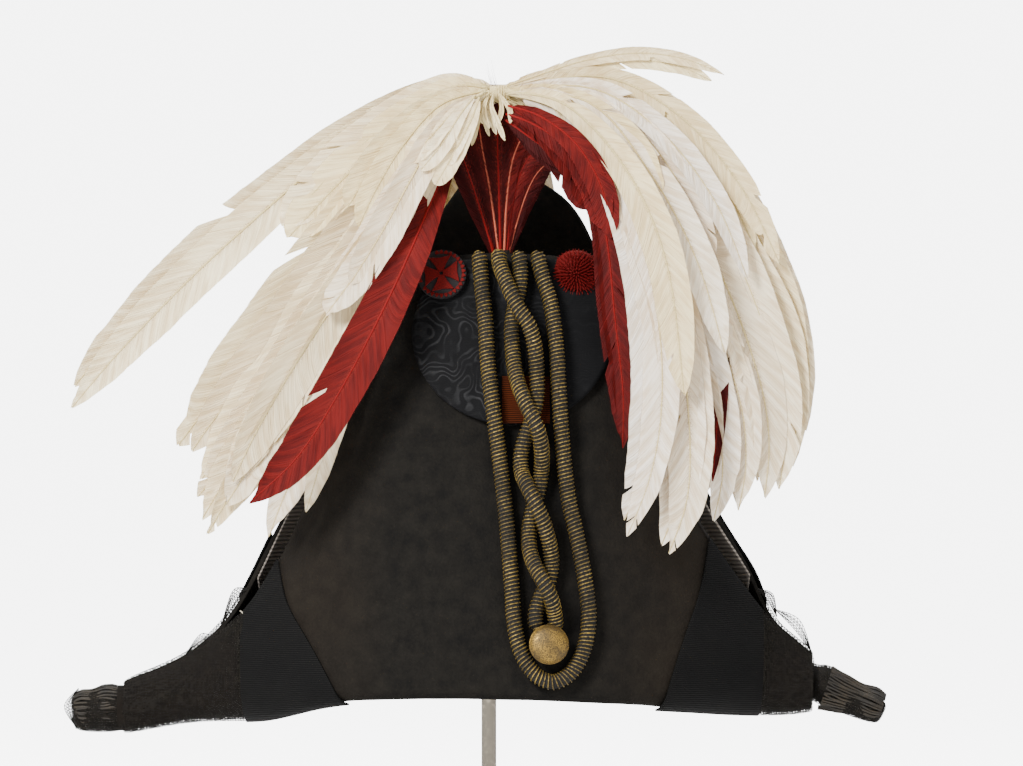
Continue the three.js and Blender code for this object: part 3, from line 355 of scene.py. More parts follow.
@dataclass(frozen=True)
class Felt(Finish):
    """Black felt with a soft nap, worn to brown."""

    dark: Colour = shade(9, 8, 7)
    light: Colour = shade(19, 17, 14)
    worn: Colour = shade(35, 28, 20)
    brown_from: float = 0.05
    ends_from: float = 0.125

    def paint(self, board: Board, shader: bpy.types.Node) -> None:
        """Paint a soft nap, worn to brown on both sides and dark at the ends.

        Args:
            board: The material's nodes.
            shader: Its main shader.
        """
        place = self.place(board)
        nap = board.group(NAP, Vector=place, Fine_Scale=700.0, Patch_Scale=22.0)
        soft = board.noise(place, 130.0, 5.0)
        base = board.blend(board.span(soft, 0.3, 0.7, 0.0, 1.0), self.dark, self.light)
        parts = board.add("ShaderNodeSeparateXYZ", Vector=place)
        aside = board.math("ABSOLUTE", parts.outputs[0])
        out = board.span(aside, self.brown_from, self.brown_from + 0.06, 0.0, 0.55)
        wear = board.math("MULTIPLY", board.span(nap.outputs["Patches"], 0.0, 1.0, 0.45, 1.0), out)
        base = board.blend(wear, base, self.worn)
        fuzz = board.span(nap.outputs["Nap"], 0.4, 0.75, 0.0, 0.3)
        base = board.blend(fuzz, base, self.light, "SCREEN")
        ends = board.span(aside, self.ends_from, self.ends_from + 0.012, 0.0, 0.4)
        board.feed(shader.inputs["Base Color"], board.blend(ends, base, self.dark))
        height = board.math("ADD", nap.outputs["Nap"], board.math("MULTIPLY", soft, 1.6))
        board.feed(shader.inputs["Normal"], board.bump(height, 0.0006, 0.7))
        shader.inputs["Specular IOR Level"].default_value = 0.1


@dataclass(frozen=True)
class RibbedSilk(Finish):
    """Dark silk with fine level ribs."""

    dark: Colour = shade(8, 8, 8)
    light: Colour = shade(18, 17, 16)
    ribs: float = 900.0

    def paint(self, board: Board, shader: bpy.types.Node) -> None:
        """Paint the ribs, worn off in patches.

        Args:
            board: The material's nodes.
            shader: Its main shader.
        """
        place = self.place(board)
        rib = board.group(RIBS, Vector=place, Ribs_per_Metre=self.ribs, Wander=0.0014)
        nap = board.group(NAP, Vector=place, Fine_Scale=1200.0, Patch_Scale=35.0)
        worn = board.span(nap.outputs["Patches"], 0.0, 1.0, 0.45, 1.0)
        share = board.math("MULTIPLY", rib.outputs["Rib"], worn)
        board.feed(shader.inputs["Base Color"], board.blend(share, self.dark, self.light))
        board.feed(shader.inputs["Roughness"], board.span(rib.outputs["Rib"], 0.0, 1.0, 0.9, 0.7))
        board.feed(shader.inputs["Normal"], board.bump(rib.outputs["Rib"], 0.0003, 0.6))
        shader.inputs["Specular IOR Level"].default_value = 0.07


@dataclass(frozen=True)
class WateredSilk(Finish):
    """Black watered silk, whose flowing lines fade into a plain dark half; the lighter lined left side is
    painted light and the dark right half painted shade.
    """

    dark: Colour = shade(6, 6, 7)
    light: Colour = shade(27, 27, 28)
    # Where the painted shade of the plain right half begins, in metres along X.
    plain_from: float = 0.03

    def paint(self, board: Board, shader: bpy.types.Node) -> None:
        """Paint the flowing lines, and fade them into the plain half: a lighter left side as painted light, a
        darker right half as painted shade.

        Args:
            board: The material's nodes.
            shader: Its main shader.
        """
        place = self.place(board)
        parts = board.add("ShaderNodeSeparateXYZ", Vector=place)
        drift = board.noise(place, 34.0, 2.0)
        upward = board.math("MULTIPLY", parts.outputs[2], 900.0)
        slant = board.math("ADD", upward, board.math("MULTIPLY", parts.outputs[0], 380.0))
        flow = board.math("ADD", board.math("MULTIPLY", drift, 125.0), slant)
        lines = board.span(board.math("SINE", flow), 0.1, 1.0, 0.0, 1.0)
        fine = board.math("SINE", board.math("MULTIPLY", parts.outputs[2], 5200.0))
        patch = board.span(board.noise(place, 90.0, 3.0), 0.38, 0.62, 0.1, 1.0)
        # The lines are the silk's own watering; showing them only on the left, over a lighter left base, is
        # painted light, and the dark plain right is painted shade.
        left = board.span(parts.outputs[0], self.plain_from - 0.008, self.plain_from + 0.006, 1.0, 0.12)
        mark = board.math("MULTIPLY", board.math("MULTIPLY", lines, patch), left)
        glow = board.math("ADD", board.math("MULTIPLY", left, 0.1), mark)
        board.feed(shader.inputs["Base Color"], board.blend(glow, self.dark, self.light))
        board.feed(shader.inputs["Roughness"], board.span(mark, 0.0, 1.0, 0.8, 0.55))
        shader.inputs["Specular IOR Level"].default_value = 0.1
        height = board.math("ADD", board.math("MULTIPLY", fine, 0.12), board.math("MULTIPLY", mark, 0.7))
        board.feed(shader.inputs["Normal"], board.bump(height, 0.0003, 0.8))


@dataclass(frozen=True)
class DyedCloth(Finish):
    """Plain dyed cloth or thread, faded in patches."""

    deep: Colour = shade(34, 2, 2)
    pale: Colour = shade(88, 9, 7)
    scale: float = 160.0

    def paint(self, board: Board, shader: bpy.types.Node) -> None:
        """Paint the dye, faded on the nap.

        Args:
            board: The material's nodes.
            shader: Its main shader.
        """
        place = self.place(board)
        nap = board.group(NAP, Vector=place, Fine_Scale=1400.0, Patch_Scale=self.scale)
        share = board.math("MULTIPLY", nap.outputs["Nap"], 1.4)
        board.feed(shader.inputs["Base Color"], board.blend(share, self.deep, self.pale))
        board.feed(shader.inputs["Normal"], board.bump(nap.outputs["Nap"], 0.0003, 0.6))
        shader.inputs["Specular IOR Level"].default_value = 0.1


@dataclass(frozen=True)
class Vane(Finish):
    """A feather's soft vane, with barb lines, a frayed edge, painted shade on some whole feathers and light
    that passes through.
    """

    first: Colour = shade(255, 240, 190)
    second: Colour = shade(255, 247, 236)
    # The low colour darkens the barb lines and streaks, and whole feathers as painted shade between layers.
    low: Colour = shade(188, 155, 100)
    fray: float = 0.06
    through: float = 0.17
    gloss: float = 0.2
    seam: float = 0.9
    golden: Colour = shade(132, 96, 38)

    def paint(self, board: Board, shader: bpy.types.Node) -> None:
        """Paint the barbs, the seam beside the quill and each feather's painted shade, fray the edge and let
        light through.

        Args:
            board: The material's nodes.
            shader: Its main shader.
        """
        grid = board.add("ShaderNodeUVMap", {"uv_map": "barbs"}).outputs[0]
        tone = board.add("ShaderNodeAttribute", {"attribute_name": "tone"})
        parts = board.add("ShaderNodeSeparateColor", Color=tone.outputs["Color"])
        barbs = board.group(BARBS, Vector=grid, Fray=self.fray)
        base = board.blend(parts.outputs[0], self.first, self.second)
        streak = board.span(barbs.outputs["Streak"], 0.38, 0.6, 0.42, 0.0)
        depth = board.math("ADD", streak, board.span(barbs.outputs["Line"], 0.35, 0.6, 0.22, 0.0))
        base = board.blend(depth, base, self.low)
        # Darken each feather towards the low colour by its own share: painted shade between layers of
        # feathers.
        base = board.blend(parts.outputs[1], base, self.low)
        apart = board.add("ShaderNodeSeparateXYZ", Vector=grid)
        stretch = board.add("ShaderNodeCombineXYZ", X=board.math("MULTIPLY", apart.outputs[0], 1.6),
                            Y=board.math("MULTIPLY", apart.outputs[1], 26.0))
        fine = board.noise(stretch.outputs[0], 1.0, 2.0)
        inner = board.span(apart.outputs[1], 0.05, 0.2, 1.0, 0.0)
        near = board.math("MULTIPLY", inner, board.span(fine, 0.5, 0.62, 0.0, self.seam))
        base = board.blend(near, base, self.golden)
        board.feed(shader.inputs["Base Color"], base)
        normal = board.bump(board.math("ADD", barbs.outputs["Line"], barbs.outputs["Streak"]), 0.0011, 0.8)
        board.feed(shader.inputs["Normal"], normal)
        shader.inputs["Specular IOR Level"].default_value = self.gloss
        glow = board.add("ShaderNodeBsdfTranslucent", Color=base, Normal=normal)
        hole = board.add("ShaderNodeBsdfTransparent")
        lit = board.mix(self.through, shader, glow)
        board.surface(board.mix(barbs.outputs["Cover"], hole, lit))


@dataclass(frozen=True)
class MetalThread(Finish):
    """Metal thread or sheet, tarnished in patches and bright on its worn places."""

    bright: Colour = shade(172, 142, 66)
    dull: Colour = shade(40, 31, 11)
    metal: float = 0.75
    patch: float = 70.0
    speckle: float = 900.0
    least: float = 0.0

    def paint(self, board: Board, shader: bpy.types.Node) -> None:
        """Paint bright specks on dull metal, fewer where it is tarnished.

        Args:
            board: The material's nodes.
            shader: Its main shader.
        """
        place = self.place(board)
        old = board.group(TARNISH, Vector=place, Speckle_Scale=self.speckle, Patch_Scale=self.patch)
        clean = board.span(old.outputs["Tarnish"], 0.0, 1.0, 1.0, 0.25)
        share = board.math("MULTIPLY", old.outputs["Speckle"], clean)
        shown = board.math("MAXIMUM", share, self.least)
        board.feed(shader.inputs["Base Color"], board.blend(shown, self.dull, self.bright))
        board.feed(shader.inputs["Metallic"], board.span(share, 0.0, 1.0, self.metal * 0.5, self.metal))
        rough = board.span(share, 0.0, 1.0, min(1.0, self.roughness + 0.2), self.roughness)
        board.feed(shader.inputs["Roughness"], rough)
        board.feed(shader.inputs["Normal"], board.bump(old.outputs["Speckle"], 0.0002, 0.5))


@dataclass(frozen=True)
class Netting(Finish):
    """Fine black net, with open cells."""

    thread: Colour = shade(8, 7, 6)
    cells: float = 700.0
    cord: float = 0.17
    haze: float = 0.86

    def paint(self, board: Board, shader: bpy.types.Node) -> None:
        """Paint the thread, and open the net's cells.

        Args:
            board: The material's nodes.
            shader: Its main shader.
        """
        place = self.place(board)
        cell = board.add("ShaderNodeTexVoronoi", {"feature": "DISTANCE_TO_EDGE"}, Vector=place,
                         Scale=self.cells, Randomness=0.45)
        tone = board.noise(place, 240.0, 2.0)
        board.feed(shader.inputs["Base Color"], board.blend(tone, self.thread, shade(22, 19, 14)))
        shader.inputs["Specular IOR Level"].default_value = 0.1
        cover = board.span(cell.outputs[0], self.cord * 0.7, self.cord * 1.5, 1.0, 0.0)
        hole = board.add("ShaderNodeBsdfTransparent", Color=(self.haze, self.haze, self.haze, 1.0))
        board.surface(board.mix(cover, hole, shader))


@dataclass(frozen=True)
class StudioPaper(Finish):
    """The pale paper that the object stands on."""

    pale: Colour = shade(250, 250, 250)
    glow: float = 6.0

    def paint(self, board: Board, shader: bpy.types.Node) -> None:
        """Paint pale paper that glows towards the camera.

        Args:
            board: The material's nodes.
            shader: Its main shader.
        """
        grain = board.noise(self.place(board), 30.0, 2.0)
        tone = board.blend(board.span(grain, 0.3, 0.7, 0.0, 0.06), self.pale, shade(236, 236, 236))
        board.feed(shader.inputs["Base Color"], tone)
        path = board.add("ShaderNodeLightPath")
        glow = board.add("ShaderNodeEmission", Color=tone)
        board.feed(glow.inputs["Strength"], board.math("MULTIPLY", path.outputs["Is Camera Ray"], self.glow))
        both = board.add("ShaderNodeAddShader")
        board.feed(both.inputs[0], shader.outputs[0])
        board.feed(both.inputs[1], glow.outputs[0])
        board.surface(both)


class Wardrobe:
    """Every material of the part, built once."""

    def __init__(self) -> None:
        """Build the materials."""
        self.felt = Felt("felt_worn", 0.9).build()
        self.back_felt = Felt("felt_deep", 0.9, dark=shade(9, 9, 8), light=shade(20, 18, 16),
                              worn=shade(34, 29, 23), brown_from=0.1).build()
        self.ribbon = RibbedSilk("ribbon_ribbed", 0.75).build()
        # The edge bands are a grey ribbon, lightened further as painted light for the shaded gap between the
        # leaves.
        self.band = RibbedSilk("band_ribbed", 0.75, dark=shade(86, 81, 76), light=shade(150, 142, 134),
                               ribs=460.0).build()
        # Black binding, also laid on the front leaf's right edge partly as painted shade of the gap between
        # the leaves.
        self.binding = DyedCloth("binding_black_and_edge_shade", 0.85, deep=shade(14, 13, 13),
                                 pale=shade(34, 31, 29)).build()
        self.stitch = DyedCloth("stitch_thread", 0.7, deep=shade(12, 12, 12), pale=shade(30, 28, 26)).build()
        self.white_stitch = DyedCloth("stitch_white", 0.7, deep=shade(120, 112, 98),
                                      pale=shade(170, 162, 146)).build()
        self.cockade = WateredSilk("silk_watered", 0.5).build()
        self.red = DyedCloth("red_cloth", 0.75).build()
        self.black = DyedCloth("black_cloth", 0.8, deep=shade(14, 13, 14), pale=shade(38, 34, 34)).build()
        self.orange = RibbedSilk("orange_silk", 0.7, dark=shade(14, 5, 2), light=shade(74, 28, 3)).build()
        self.wire = MetalThread("bullion_wire", 0.34).build()
        self.core = MetalThread("bullion_core", 0.8, bright=shade(16, 12, 7), dull=shade(5, 4, 3),
                                metal=0.05).build()
        self.strand = MetalThread("tassel_strand", 0.55, bright=shade(48, 37, 16), dull=shade(5, 4, 3),
                                  metal=0.3, patch=90.0, speckle=2400.0).build()
        self.gilt = MetalThread("gilt_worn", 0.36, bright=shade(152, 120, 52), dull=shade(46, 35, 13),
                                metal=0.85, patch=140.0, speckle=1500.0).build()
        self.white = Vane("feather_white", 0.75).build()
        self.scarlet = Vane("feather_red", 0.7, first=shade(102, 18, 15), second=shade(62, 8, 8),
                            low=shade(24, 2, 2), fray=0.05, through=0.05, gloss=0.12, seam=0.6,
                            golden=shade(130, 38, 28)).build()
        self.quill = DyedCloth("quill_cream", 0.45, deep=shade(148, 126, 70),
                               pale=shade(212, 194, 144)).build()
        self.red_quill = DyedCloth("quill_red", 0.5, deep=shade(70, 6, 6), pale=shade(120, 16, 14)).build()
        self.pink_quill = DyedCloth("quill_pink", 0.5, deep=shade(120, 34, 24),
                                    pale=shade(184, 96, 72)).build()
        self.net = Netting("net_black", 0.8).build()
        self.steel = MetalThread("steel_satin", 0.3, bright=shade(158, 149, 134), dull=shade(100, 94, 82),
                                 metal=0.95, patch=24.0, speckle=420.0, least=0.4).build()
        self.paper = StudioPaper("studio_paper", 0.9).build()


# Ways to model


def only(*objects: bpy.types.Object) -> None:
    """Select objects and nothing else.

    Args:
        objects: What to select. The first one is made active.
    """
    bpy.ops.object.select_all(action="DESELECT")
    for item in objects:
        item.select_set(True)
    bpy.context.view_layer.objects.active = objects[0]


@contextmanager
def editing(piece: bpy.types.Object) -> Iterator[None]:
    """Edit the mesh of a piece, with all of it selected, and leave edit mode after that.

    Args:
        piece: The piece.

    Yields:
        Nothing.
    """
    only(piece)
    bpy.ops.object.mode_set(mode="EDIT")
    bpy.ops.mesh.select_all(action="SELECT")
    yield
    bpy.ops.object.mode_set(mode="OBJECT")


def add_object(name: str, data: bpy.types.ID) -> bpy.types.Object:
    """Return a new object of some data, in the scene.

    Args:
        name: The object's name.
        data: Its mesh, curve, camera or light.

    Returns:
        The object.
    """
    item = bpy.data.objects.new(name, data)
    bpy.context.scene.collection.objects.link(item)
    return item


def fresh_shape(name: str) -> bpy.types.Object:
    """Name the basic shape that was just added, and put its size and place into its mesh.

    Args:
        name: The shape's name.

    Returns:
        The shape.
    """
    bpy.ops.object.transform_apply(location=True, rotation=True, scale=True)
    bpy.context.active_object.name = name
    return bpy.context.active_object


def apply_all(piece: bpy.types.Object) -> None:
    """Apply every modifier of a piece.

    Args:
        piece: The piece.
    """
    only(piece)
    for modifier in list(piece.modifiers):
        bpy.ops.object.modifier_apply(modifier=modifier.name)


def finish_piece(piece: bpy.types.Object, slot: str, *nodes: str) -> None:
    """Let a piece ride on the body and hide what it stands for.

    Args:
        piece: The finished piece.
        slot: The record's material slot for the piece; not used.
        nodes: The nodes that it replaces.
    """
    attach(piece, "root")
    if nodes:
        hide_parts(*nodes)
    triangles = sum(len(face.vertices) - 2 for face in piece.data.polygons)
    log.info("%s: %d triangles", piece.name, triangles)


def dress(piece: bpy.types.Object, *materials: bpy.types.Material) -> None:
    """Give a piece its materials.

    Args:
        piece: The piece.
        materials: The materials, in order.
    """
    piece.data.materials.clear()
    for material in materials:
        piece.data.materials.append(material)


def free_copy(node: str, name: str) -> bpy.types.Object:
    """Return a merged copy of a node's mesh, in quads where it can be.

    Args:
        node: The node's name.
        name: The new piece's name.

    Returns:
        The copy, at the origin.
    """
    piece = add_object(name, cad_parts[node].data.copy())
    with editing(piece):
        bpy.ops.mesh.remove_doubles(threshold=MERGE)
        bpy.ops.mesh.tris_convert_to_quads(face_threshold=math.radians(40), shape_threshold=math.radians(60))
    return piece


def smooth_copy(node: str, name: str, levels: int, edge: float, sway: float = 0.0) -> bpy.types.Object:
    """Return a finer copy of a node, smooth over its faces and with its sharp edges rounded.

    Args:
        node: The node's name.
        name: The new piece's name.
        levels: How often its faces are divided.
        edge: The width of its rounded edges, in metres.
        sway: The height of slight dents and waves, in metres.

    Returns:
        The finer copy.
    """
    piece = free_copy(node, name)
    with editing(piece):
        bpy.ops.mesh.select_mode(type="EDGE")
        bpy.ops.mesh.select_all(action="DESELECT")
        bpy.ops.mesh.edges_select_sharp(sharpness=math.radians(48))
    crease = piece.data.attributes.new("crease_edge", "FLOAT", "EDGE")
    for edge_line in piece.data.edges:
        crease.data[edge_line.index].value = 1.0 if edge_line.select else 0.0
    finer = piece.modifiers.new("finer", "SUBSURF")
    finer.levels = finer.render_levels = levels
    if sway:
        texture = bpy.data.textures.new(name + "_sway", "CLOUDS")
        texture.noise_scale = 0.035
        waves = piece.modifiers.new("waves", "DISPLACE")
        waves.texture = texture
        waves.texture_coords = "GLOBAL"
        waves.strength = sway
        waves.mid_level = 0.5
    if edge:
        rounding = piece.modifiers.new("rounding", "BEVEL")
        rounding.width = edge
        rounding.segments = 2
        rounding.limit_method = "ANGLE"
        rounding.angle_limit = math.radians(50)
    apply_all(piece)
    bpy.ops.object.shade_smooth_by_angle(angle=math.radians(50))
    return piece


def smooth_route(points: list[Vector], count: int) -> list[Vector]:
    """Return evenly spaced points on a smooth curve through some points.

    Args:
        points: What the curve passes through.
        count: How many points to return.

    Returns:
        The points, from the first to the last.
    """
    dense: list[Vector] = []
    last = len(points) - 1
    for index in range(last):
        before, start = points[max(index - 1, 0)], points[index]
        end, after = points[index + 1], points[min(index + 2, last)]
        for step in range(CURVE_STEPS):
            share = step / CURVE_STEPS
            square, cube = share * share, share ** 3
            dense.append(0.5 * (2 * start + (end - before) * share
                                + (2 * before - 5 * start + 4 * end - after) * square
                                + (3 * start - before - 3 * end + after) * cube))
    dense.append(points[-1])
    lengths = [0.0]
    for first, second in zip(dense, dense[1:]):
        lengths.append(lengths[-1] + (second - first).length)
    even: list[Vector] = []
    at = 0
    for index in range(count):
        goal = lengths[-1] * index / (count - 1)
        while at < len(dense) - 2 and lengths[at + 1] < goal:
            at += 1
        gap = lengths[at + 1] - lengths[at] or 1.0
        even.append(dense[at].lerp(dense[at + 1], min(1.0, (goal - lengths[at]) / gap)))
    return even


def wire_piece(name: str, routes: list[list[Vector]], radius: float, sides: int = 1,
               thick: list[list[float]] | None = None) -> bpy.types.Object:
    """Return round wires along some routes, as one mesh.

    Args:
        name: The piece's name.
        routes: The points of each wire.
        radius: The wires' radius, in metres.
        sides: The curve's bevel resolution.
        thick: A share of the radius for each point, or None.

    Returns:
        The mesh piece.
    """
    curve = bpy.data.curves.new(name, "CURVE")
    curve.dimensions = "3D"
    curve.bevel_depth = radius
    curve.bevel_resolution = sides
    curve.use_fill_caps = True
    for number, route in enumerate(routes):
        spline = curve.splines.new("POLY")
        spline.points.add(len(route) - 1)
        for index, point in enumerate(route):
            spline.points[index].co = (*point, 1.0)
            spline.points[index].radius = thick[number][index] if thick else 1.0
    only(add_object(name, curve))
    bpy.ops.object.convert(target="MESH")
    piece = bpy.context.view_layer.objects.active
    with editing(piece):
        bpy.ops.mesh.normals_make_consistent(inside=False)
    bpy.ops.object.shade_smooth()
    return piece


def join_pieces(first: bpy.types.Object, *others: bpy.types.Object) -> bpy.types.Object:
    """Join pieces into one.

    Args:
        first: The piece that the others go into.
        others: The other pieces.

    Returns:
        The first piece.
    """
    only(first, *others)
    bpy.ops.object.join()
    return first


def leaf_edge(node: str, x: float) -> Vector:
    """Return the highest point of a node where it crosses a place along X.

    Args:
        node: The node's name.
        x: The place, in metres.

    Returns:
        The point, in metres.
    """
    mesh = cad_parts[node].data
    best = Vector((x, 0.0, -1.0))
    for edge in mesh.edges:
        low, high = (mesh.vertices[index].co for index in edge.vertices)
        if (low.x - x) * (high.x - x) > 0 or abs(high.x - low.x) < 1e-9:
            continue
        point = low.lerp(high, (x - low.x) / (high.x - low.x))
        if point.z > best.z:
            best = point.copy()
    return best


def facing_of(node: str) -> tuple[Vector, Matrix]:
    """Return a front piece's centre and the turn that lays the XY plane on it.

    Args:
        node: The node's name.

    Returns:
        The foot of the piece on the leaf, and its turn.
    """
    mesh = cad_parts[node].data
    outward = Vector((0.0, 0.0, 0.0))
    for face in mesh.polygons:
        if face.normal.y < -0.75:
            outward += face.normal * face.area
    outward.normalize()
    low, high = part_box(node)
    middle = (low + high) / 2
    depth = min((vertex.co - middle).dot(outward) for vertex in mesh.vertices)
    right = (Vector((1.0, 0.0, 0.0)) - outward * outward.x).normalized()
    up = outward.cross(right)
    turn = Matrix((right, up, outward)).transposed().to_4x4()
    return middle + outward * depth, turn


def seat(piece: bpy.types.Object, foot: Vector, turn: Matrix) -> None:
    """Move a piece made on the XY plane to its foot, with the move in its mesh."""
    piece.data.transform(Matrix.Translation(foot) @ turn)


# Felt, ribbons and net


@dataclass
class FeltBody:
    """The crown and the two turned-up leaves."""

    wardrobe: Wardrobe
    edge_round: float = 0.8 * MM
    sway: float = 0.9 * MM

    def build(self) -> None:
        """Build and dress the felt."""
        for node in ("front_leaf", "back_leaf"):
            piece = smooth_copy(node, node + "_felt", 2, self.edge_round, self.sway)
            dress(piece, self.wardrobe.felt if node == "front_leaf" else self.wardrobe.back_felt)
            finish_piece(piece, "felt", node)
        crown = smooth_copy("crown", "crown_felt", 2, 0.4 * MM)
        dress(crown, self.wardrobe.felt)
        finish_piece(crown, "felt", "crown")


@dataclass
class Ribbons:
    """Ribbons round the corners, ribbed bands lightened partly as painted light, the bound edge, dark partly
    as painted shade, and its stitches.
    """

    wardrobe: Wardrobe
    sway: float = 0.9 * MM
    binding_and_shade_radius: float = 1.0 * MM
    # The binding's radius and span also set a strip of painted shade along the front leaf's right edge.
    binding_and_shade_span: tuple[float, float] = (109.0, 143.0)
    stitch_span: tuple[float, float] = (119.0, 142.0)
    stitch_step: float = 2.6

    def build(self) -> None:
        """Build and dress the ribbons, bands, binding and stitches."""
        for node in ("ribbon_left_front", "ribbon_left_back", "ribbon_right_front", "ribbon_right_back"):
            piece = smooth_copy(node, node + "_silk", 2, 0.3 * MM, self.sway)
            dress(piece, self.wardrobe.ribbon)
            finish_piece(piece, "ribbon", node)
        for node in ("edge_band_left", "edge_band_right"):
            piece = smooth_copy(node, node + "_silk", 2, 0.3 * MM, self.sway)
            # The bands' light colour is partly painted light for the shaded gap between the leaves.
            dress(piece, self.wardrobe.band)
            finish_piece(piece, "ribbon", node)
        self.build_binding()
        self.build_stitches()

    def build_binding(self) -> None:
        """Lay a dark binding along the front leaf's right edge, dark partly as painted shade of the gap
        between the leaves.
        """
        start, end = self.binding_and_shade_span
        points = [leaf_edge("front_leaf", (start + (end - start) * i / 9) * MM) for i in range(10)]
        route = smooth_route([p + Vector((0, 0, 0.2 * MM)) for p in points], 60)
        piece = wire_piece("edge_binding_and_shade", [route], self.binding_and_shade_radius, 2)
        dress(piece, self.wardrobe.binding)
        finish_piece(piece, "ribbon")

    def build_stitches(self) -> None:
        """Sew short stitches across the bound edge, and a white one on the left edge."""
        start, end = self.stitch_span
        routes = []
        count = int((end - start) / self.stitch_step)
        for index in range(count + 1):
            x = (start + self.stitch_step * index) * MM
            here, there = leaf_edge("front_leaf", x), leaf_edge("front_leaf", x + MM)
            along = (there - here).normalized()
            across = Vector((-along.z, 0.0, along.x)).normalized()
            across = across if across.z > 0 else -across
            front = here + Vector((0.0, -1.9 * MM, 0.0))
            routes.append([front - across * 5.0 * MM, front - across * 1.6 * MM + Vector((0, -0.5 * MM, 0)),
                           here + across * 1.3 * MM, here + across * 1.2 * MM + Vector((0, 2.2 * MM, 0))])
        black = wire_piece("edge_stitches", [smooth_route(route, 8) for route in routes], 0.3 * MM)
        dress(black, self.wardrobe.stitch)
        finish_piece(black, "ribbon")
        spot = leaf_edge("front_leaf", -132.5 * MM)
        route = [spot + Vector((-1.4, -1.0, 1.6)) * MM, spot + Vector((0.0, -3.0, 0.4)) * MM,
                 spot + Vector((1.0, -3.6, -2.6)) * MM]
        white = wire_piece("edge_stitch_white", [smooth_route(route, 8)], 0.35 * MM)
        dress(white, self.wardrobe.white_stitch)
        finish_piece(white, "ribbon")


@dataclass
class NetVeil:
    """Fine net over both corners of the hat."""

    wardrobe: Wardrobe
    inner_left: float = -122.0
    inner_right: float = 140.0
    lift: float = 1.6 * MM
    tassel_lift: float = 1.1 * MM
    loose_arcs: tuple[tuple[Pair, Pair, Pair, float], ...] = (
        ((180, 664), (200, 634), (216, 640), -32.0), ((222, 624), (234, 590), (248, 588), -26.0),
        ((79, 688), (65, 706), (77, 728), -30.0), ((757, 588), (773, 594), (776, 616), -26.0),
        ((774, 608), (799, 620), (812, 653), -30.0))
    layers: int = 7
    thread_points: int = 16
    stray: tuple[float, float, float] = (0.3, 1.0, 0.3)
    cuff_loops: int = 9
    cuff_reach: float = 10.0 * MM

    def shell(self, node: str, name: str, limit: float, side: Side, lift: float) -> bpy.types.Object:
        """Return the outer skin of a node beyond a limit, lifted off it.

        Args:
            node: The node's name.
            name: The new piece's name.
            limit: Where the net ends, in millimetres along X.
            side: The end of the hat.
            lift: How far the net lies off the node, in metres.

        Returns:
            The net.
        """
        piece = free_copy(node, name)
        mesh = bmesh.new()
        mesh.from_mesh(piece.data)
        outward = -1.0 if node.startswith("front") else 1.0
        whole = node.startswith("tassel")
        drop = [face for face in mesh.faces
                if side.value * (face.calc_center_median().x - limit * MM) < 0
                or (not whole and face.normal.y * outward < 0.05)]
        bmesh.ops.delete(mesh, geom=drop, context="FACES")
        mesh.to_mesh(piece.data)
        mesh.free()
        with editing(piece):
            bpy.ops.transform.shrink_fatten(value=lift)
        finer = piece.modifiers.new("finer", "SUBSURF")
        finer.levels = finer.render_levels = 2
        apply_all(piece)
        bpy.ops.object.shade_smooth()
        return piece

    def build(self) -> None:
        """Build and dress the net of both ends."""
        for side, limit in ((Side.LEFT, self.inner_left), (Side.RIGHT, self.inner_right)):
            word = side.name.lower()
            parts = [self.shell("front_leaf", "net_" + word, limit, side, self.lift),
                     self.shell("back_leaf", "net_back_" + word, limit, side, self.lift),
                     self.shell("tassel_" + word, "net_tassel_" + word, limit, side, self.tassel_lift)]
            piece = join_pieces(*parts)
            dress(piece, self.wardrobe.net)
            finish_piece(piece, "ribbon")
        self.build_threads()
        self.build_cuff()

    def build_threads(self) -> None:
        """Let a few loose threads stand off the net."""
        chance = random.Random(41)
        last = self.thread_points - 1
        routes = []
        for start, middle, end, forward in self.loose_arcs:
            for layer in range(self.layers):
                share = layer / (self.layers - 1)
                heart = (start[0] + end[0]) / 2, (start[1] + end[1]) / 2
                top = [heart[i] + (middle[i] - heart[i]) * (1.0 - 0.85 * share) for i in (0, 1)]
                points = [seen_at(*start, forward), seen_at(*top, forward - 1.0), seen_at(*end, forward)]
                for point in points:
                    point += Vector([chance.uniform(-reach, reach) for reach in self.stray]) * MM
                routes.append(smooth_route(points, self.thread_points))
            arcs = routes[-self.layers:]
            middle_arc = arcs[self.layers // 2]
            for step in range(1, last):
                for shift in (-1, 1):
                    beside = min(last, max(0, step + shift))
                    routes.append([arcs[0][step].copy(), middle_arc[beside].copy(), arcs[-1][step].copy()])
        piece = wire_piece("net_threads", routes, 0.2 * MM)
        dress(piece, self.wardrobe.stitch)
        finish_piece(piece, "ribbon")

    def build_cuff(self) -> None:
        """Wind thread in the felt's tone round the narrow place beside the left tassel."""
        felt = min(vertex.co.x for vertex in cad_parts["front_leaf"].data.vertices)
        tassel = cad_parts["tassel_left"].data.vertices
        near = [vertex.co for vertex in tassel if vertex.co.x > felt - self.cuff_reach]
        low = Vector([min(place[axis] for place in near) for axis in range(3)])
        high = Vector([max(place[axis] for place in near) for axis in range(3)])
        heart = (low + high) / 2
        half = (high - low) / 2 - Vector((0.3, 0.3, 0.3)) * MM
        steps = 32
        routes = []
        for loop in range(self.cuff_loops):
            across = felt + (0.6 - 0.45 * loop) * MM
            route = []
            for step in range(steps + 1):
                turn = 2 * math.pi * step / steps
                offset = Vector((0.0, half.y * math.cos(turn), half.z * math.sin(turn)))
                route.append(Vector((across, heart.y, heart.z)) + offset)
            routes.append(route)
        piece = wire_piece("net_cuff_left", routes, 0.3 * MM)
        dress(piece, self.wardrobe.felt)
        finish_piece(piece, "ribbon")


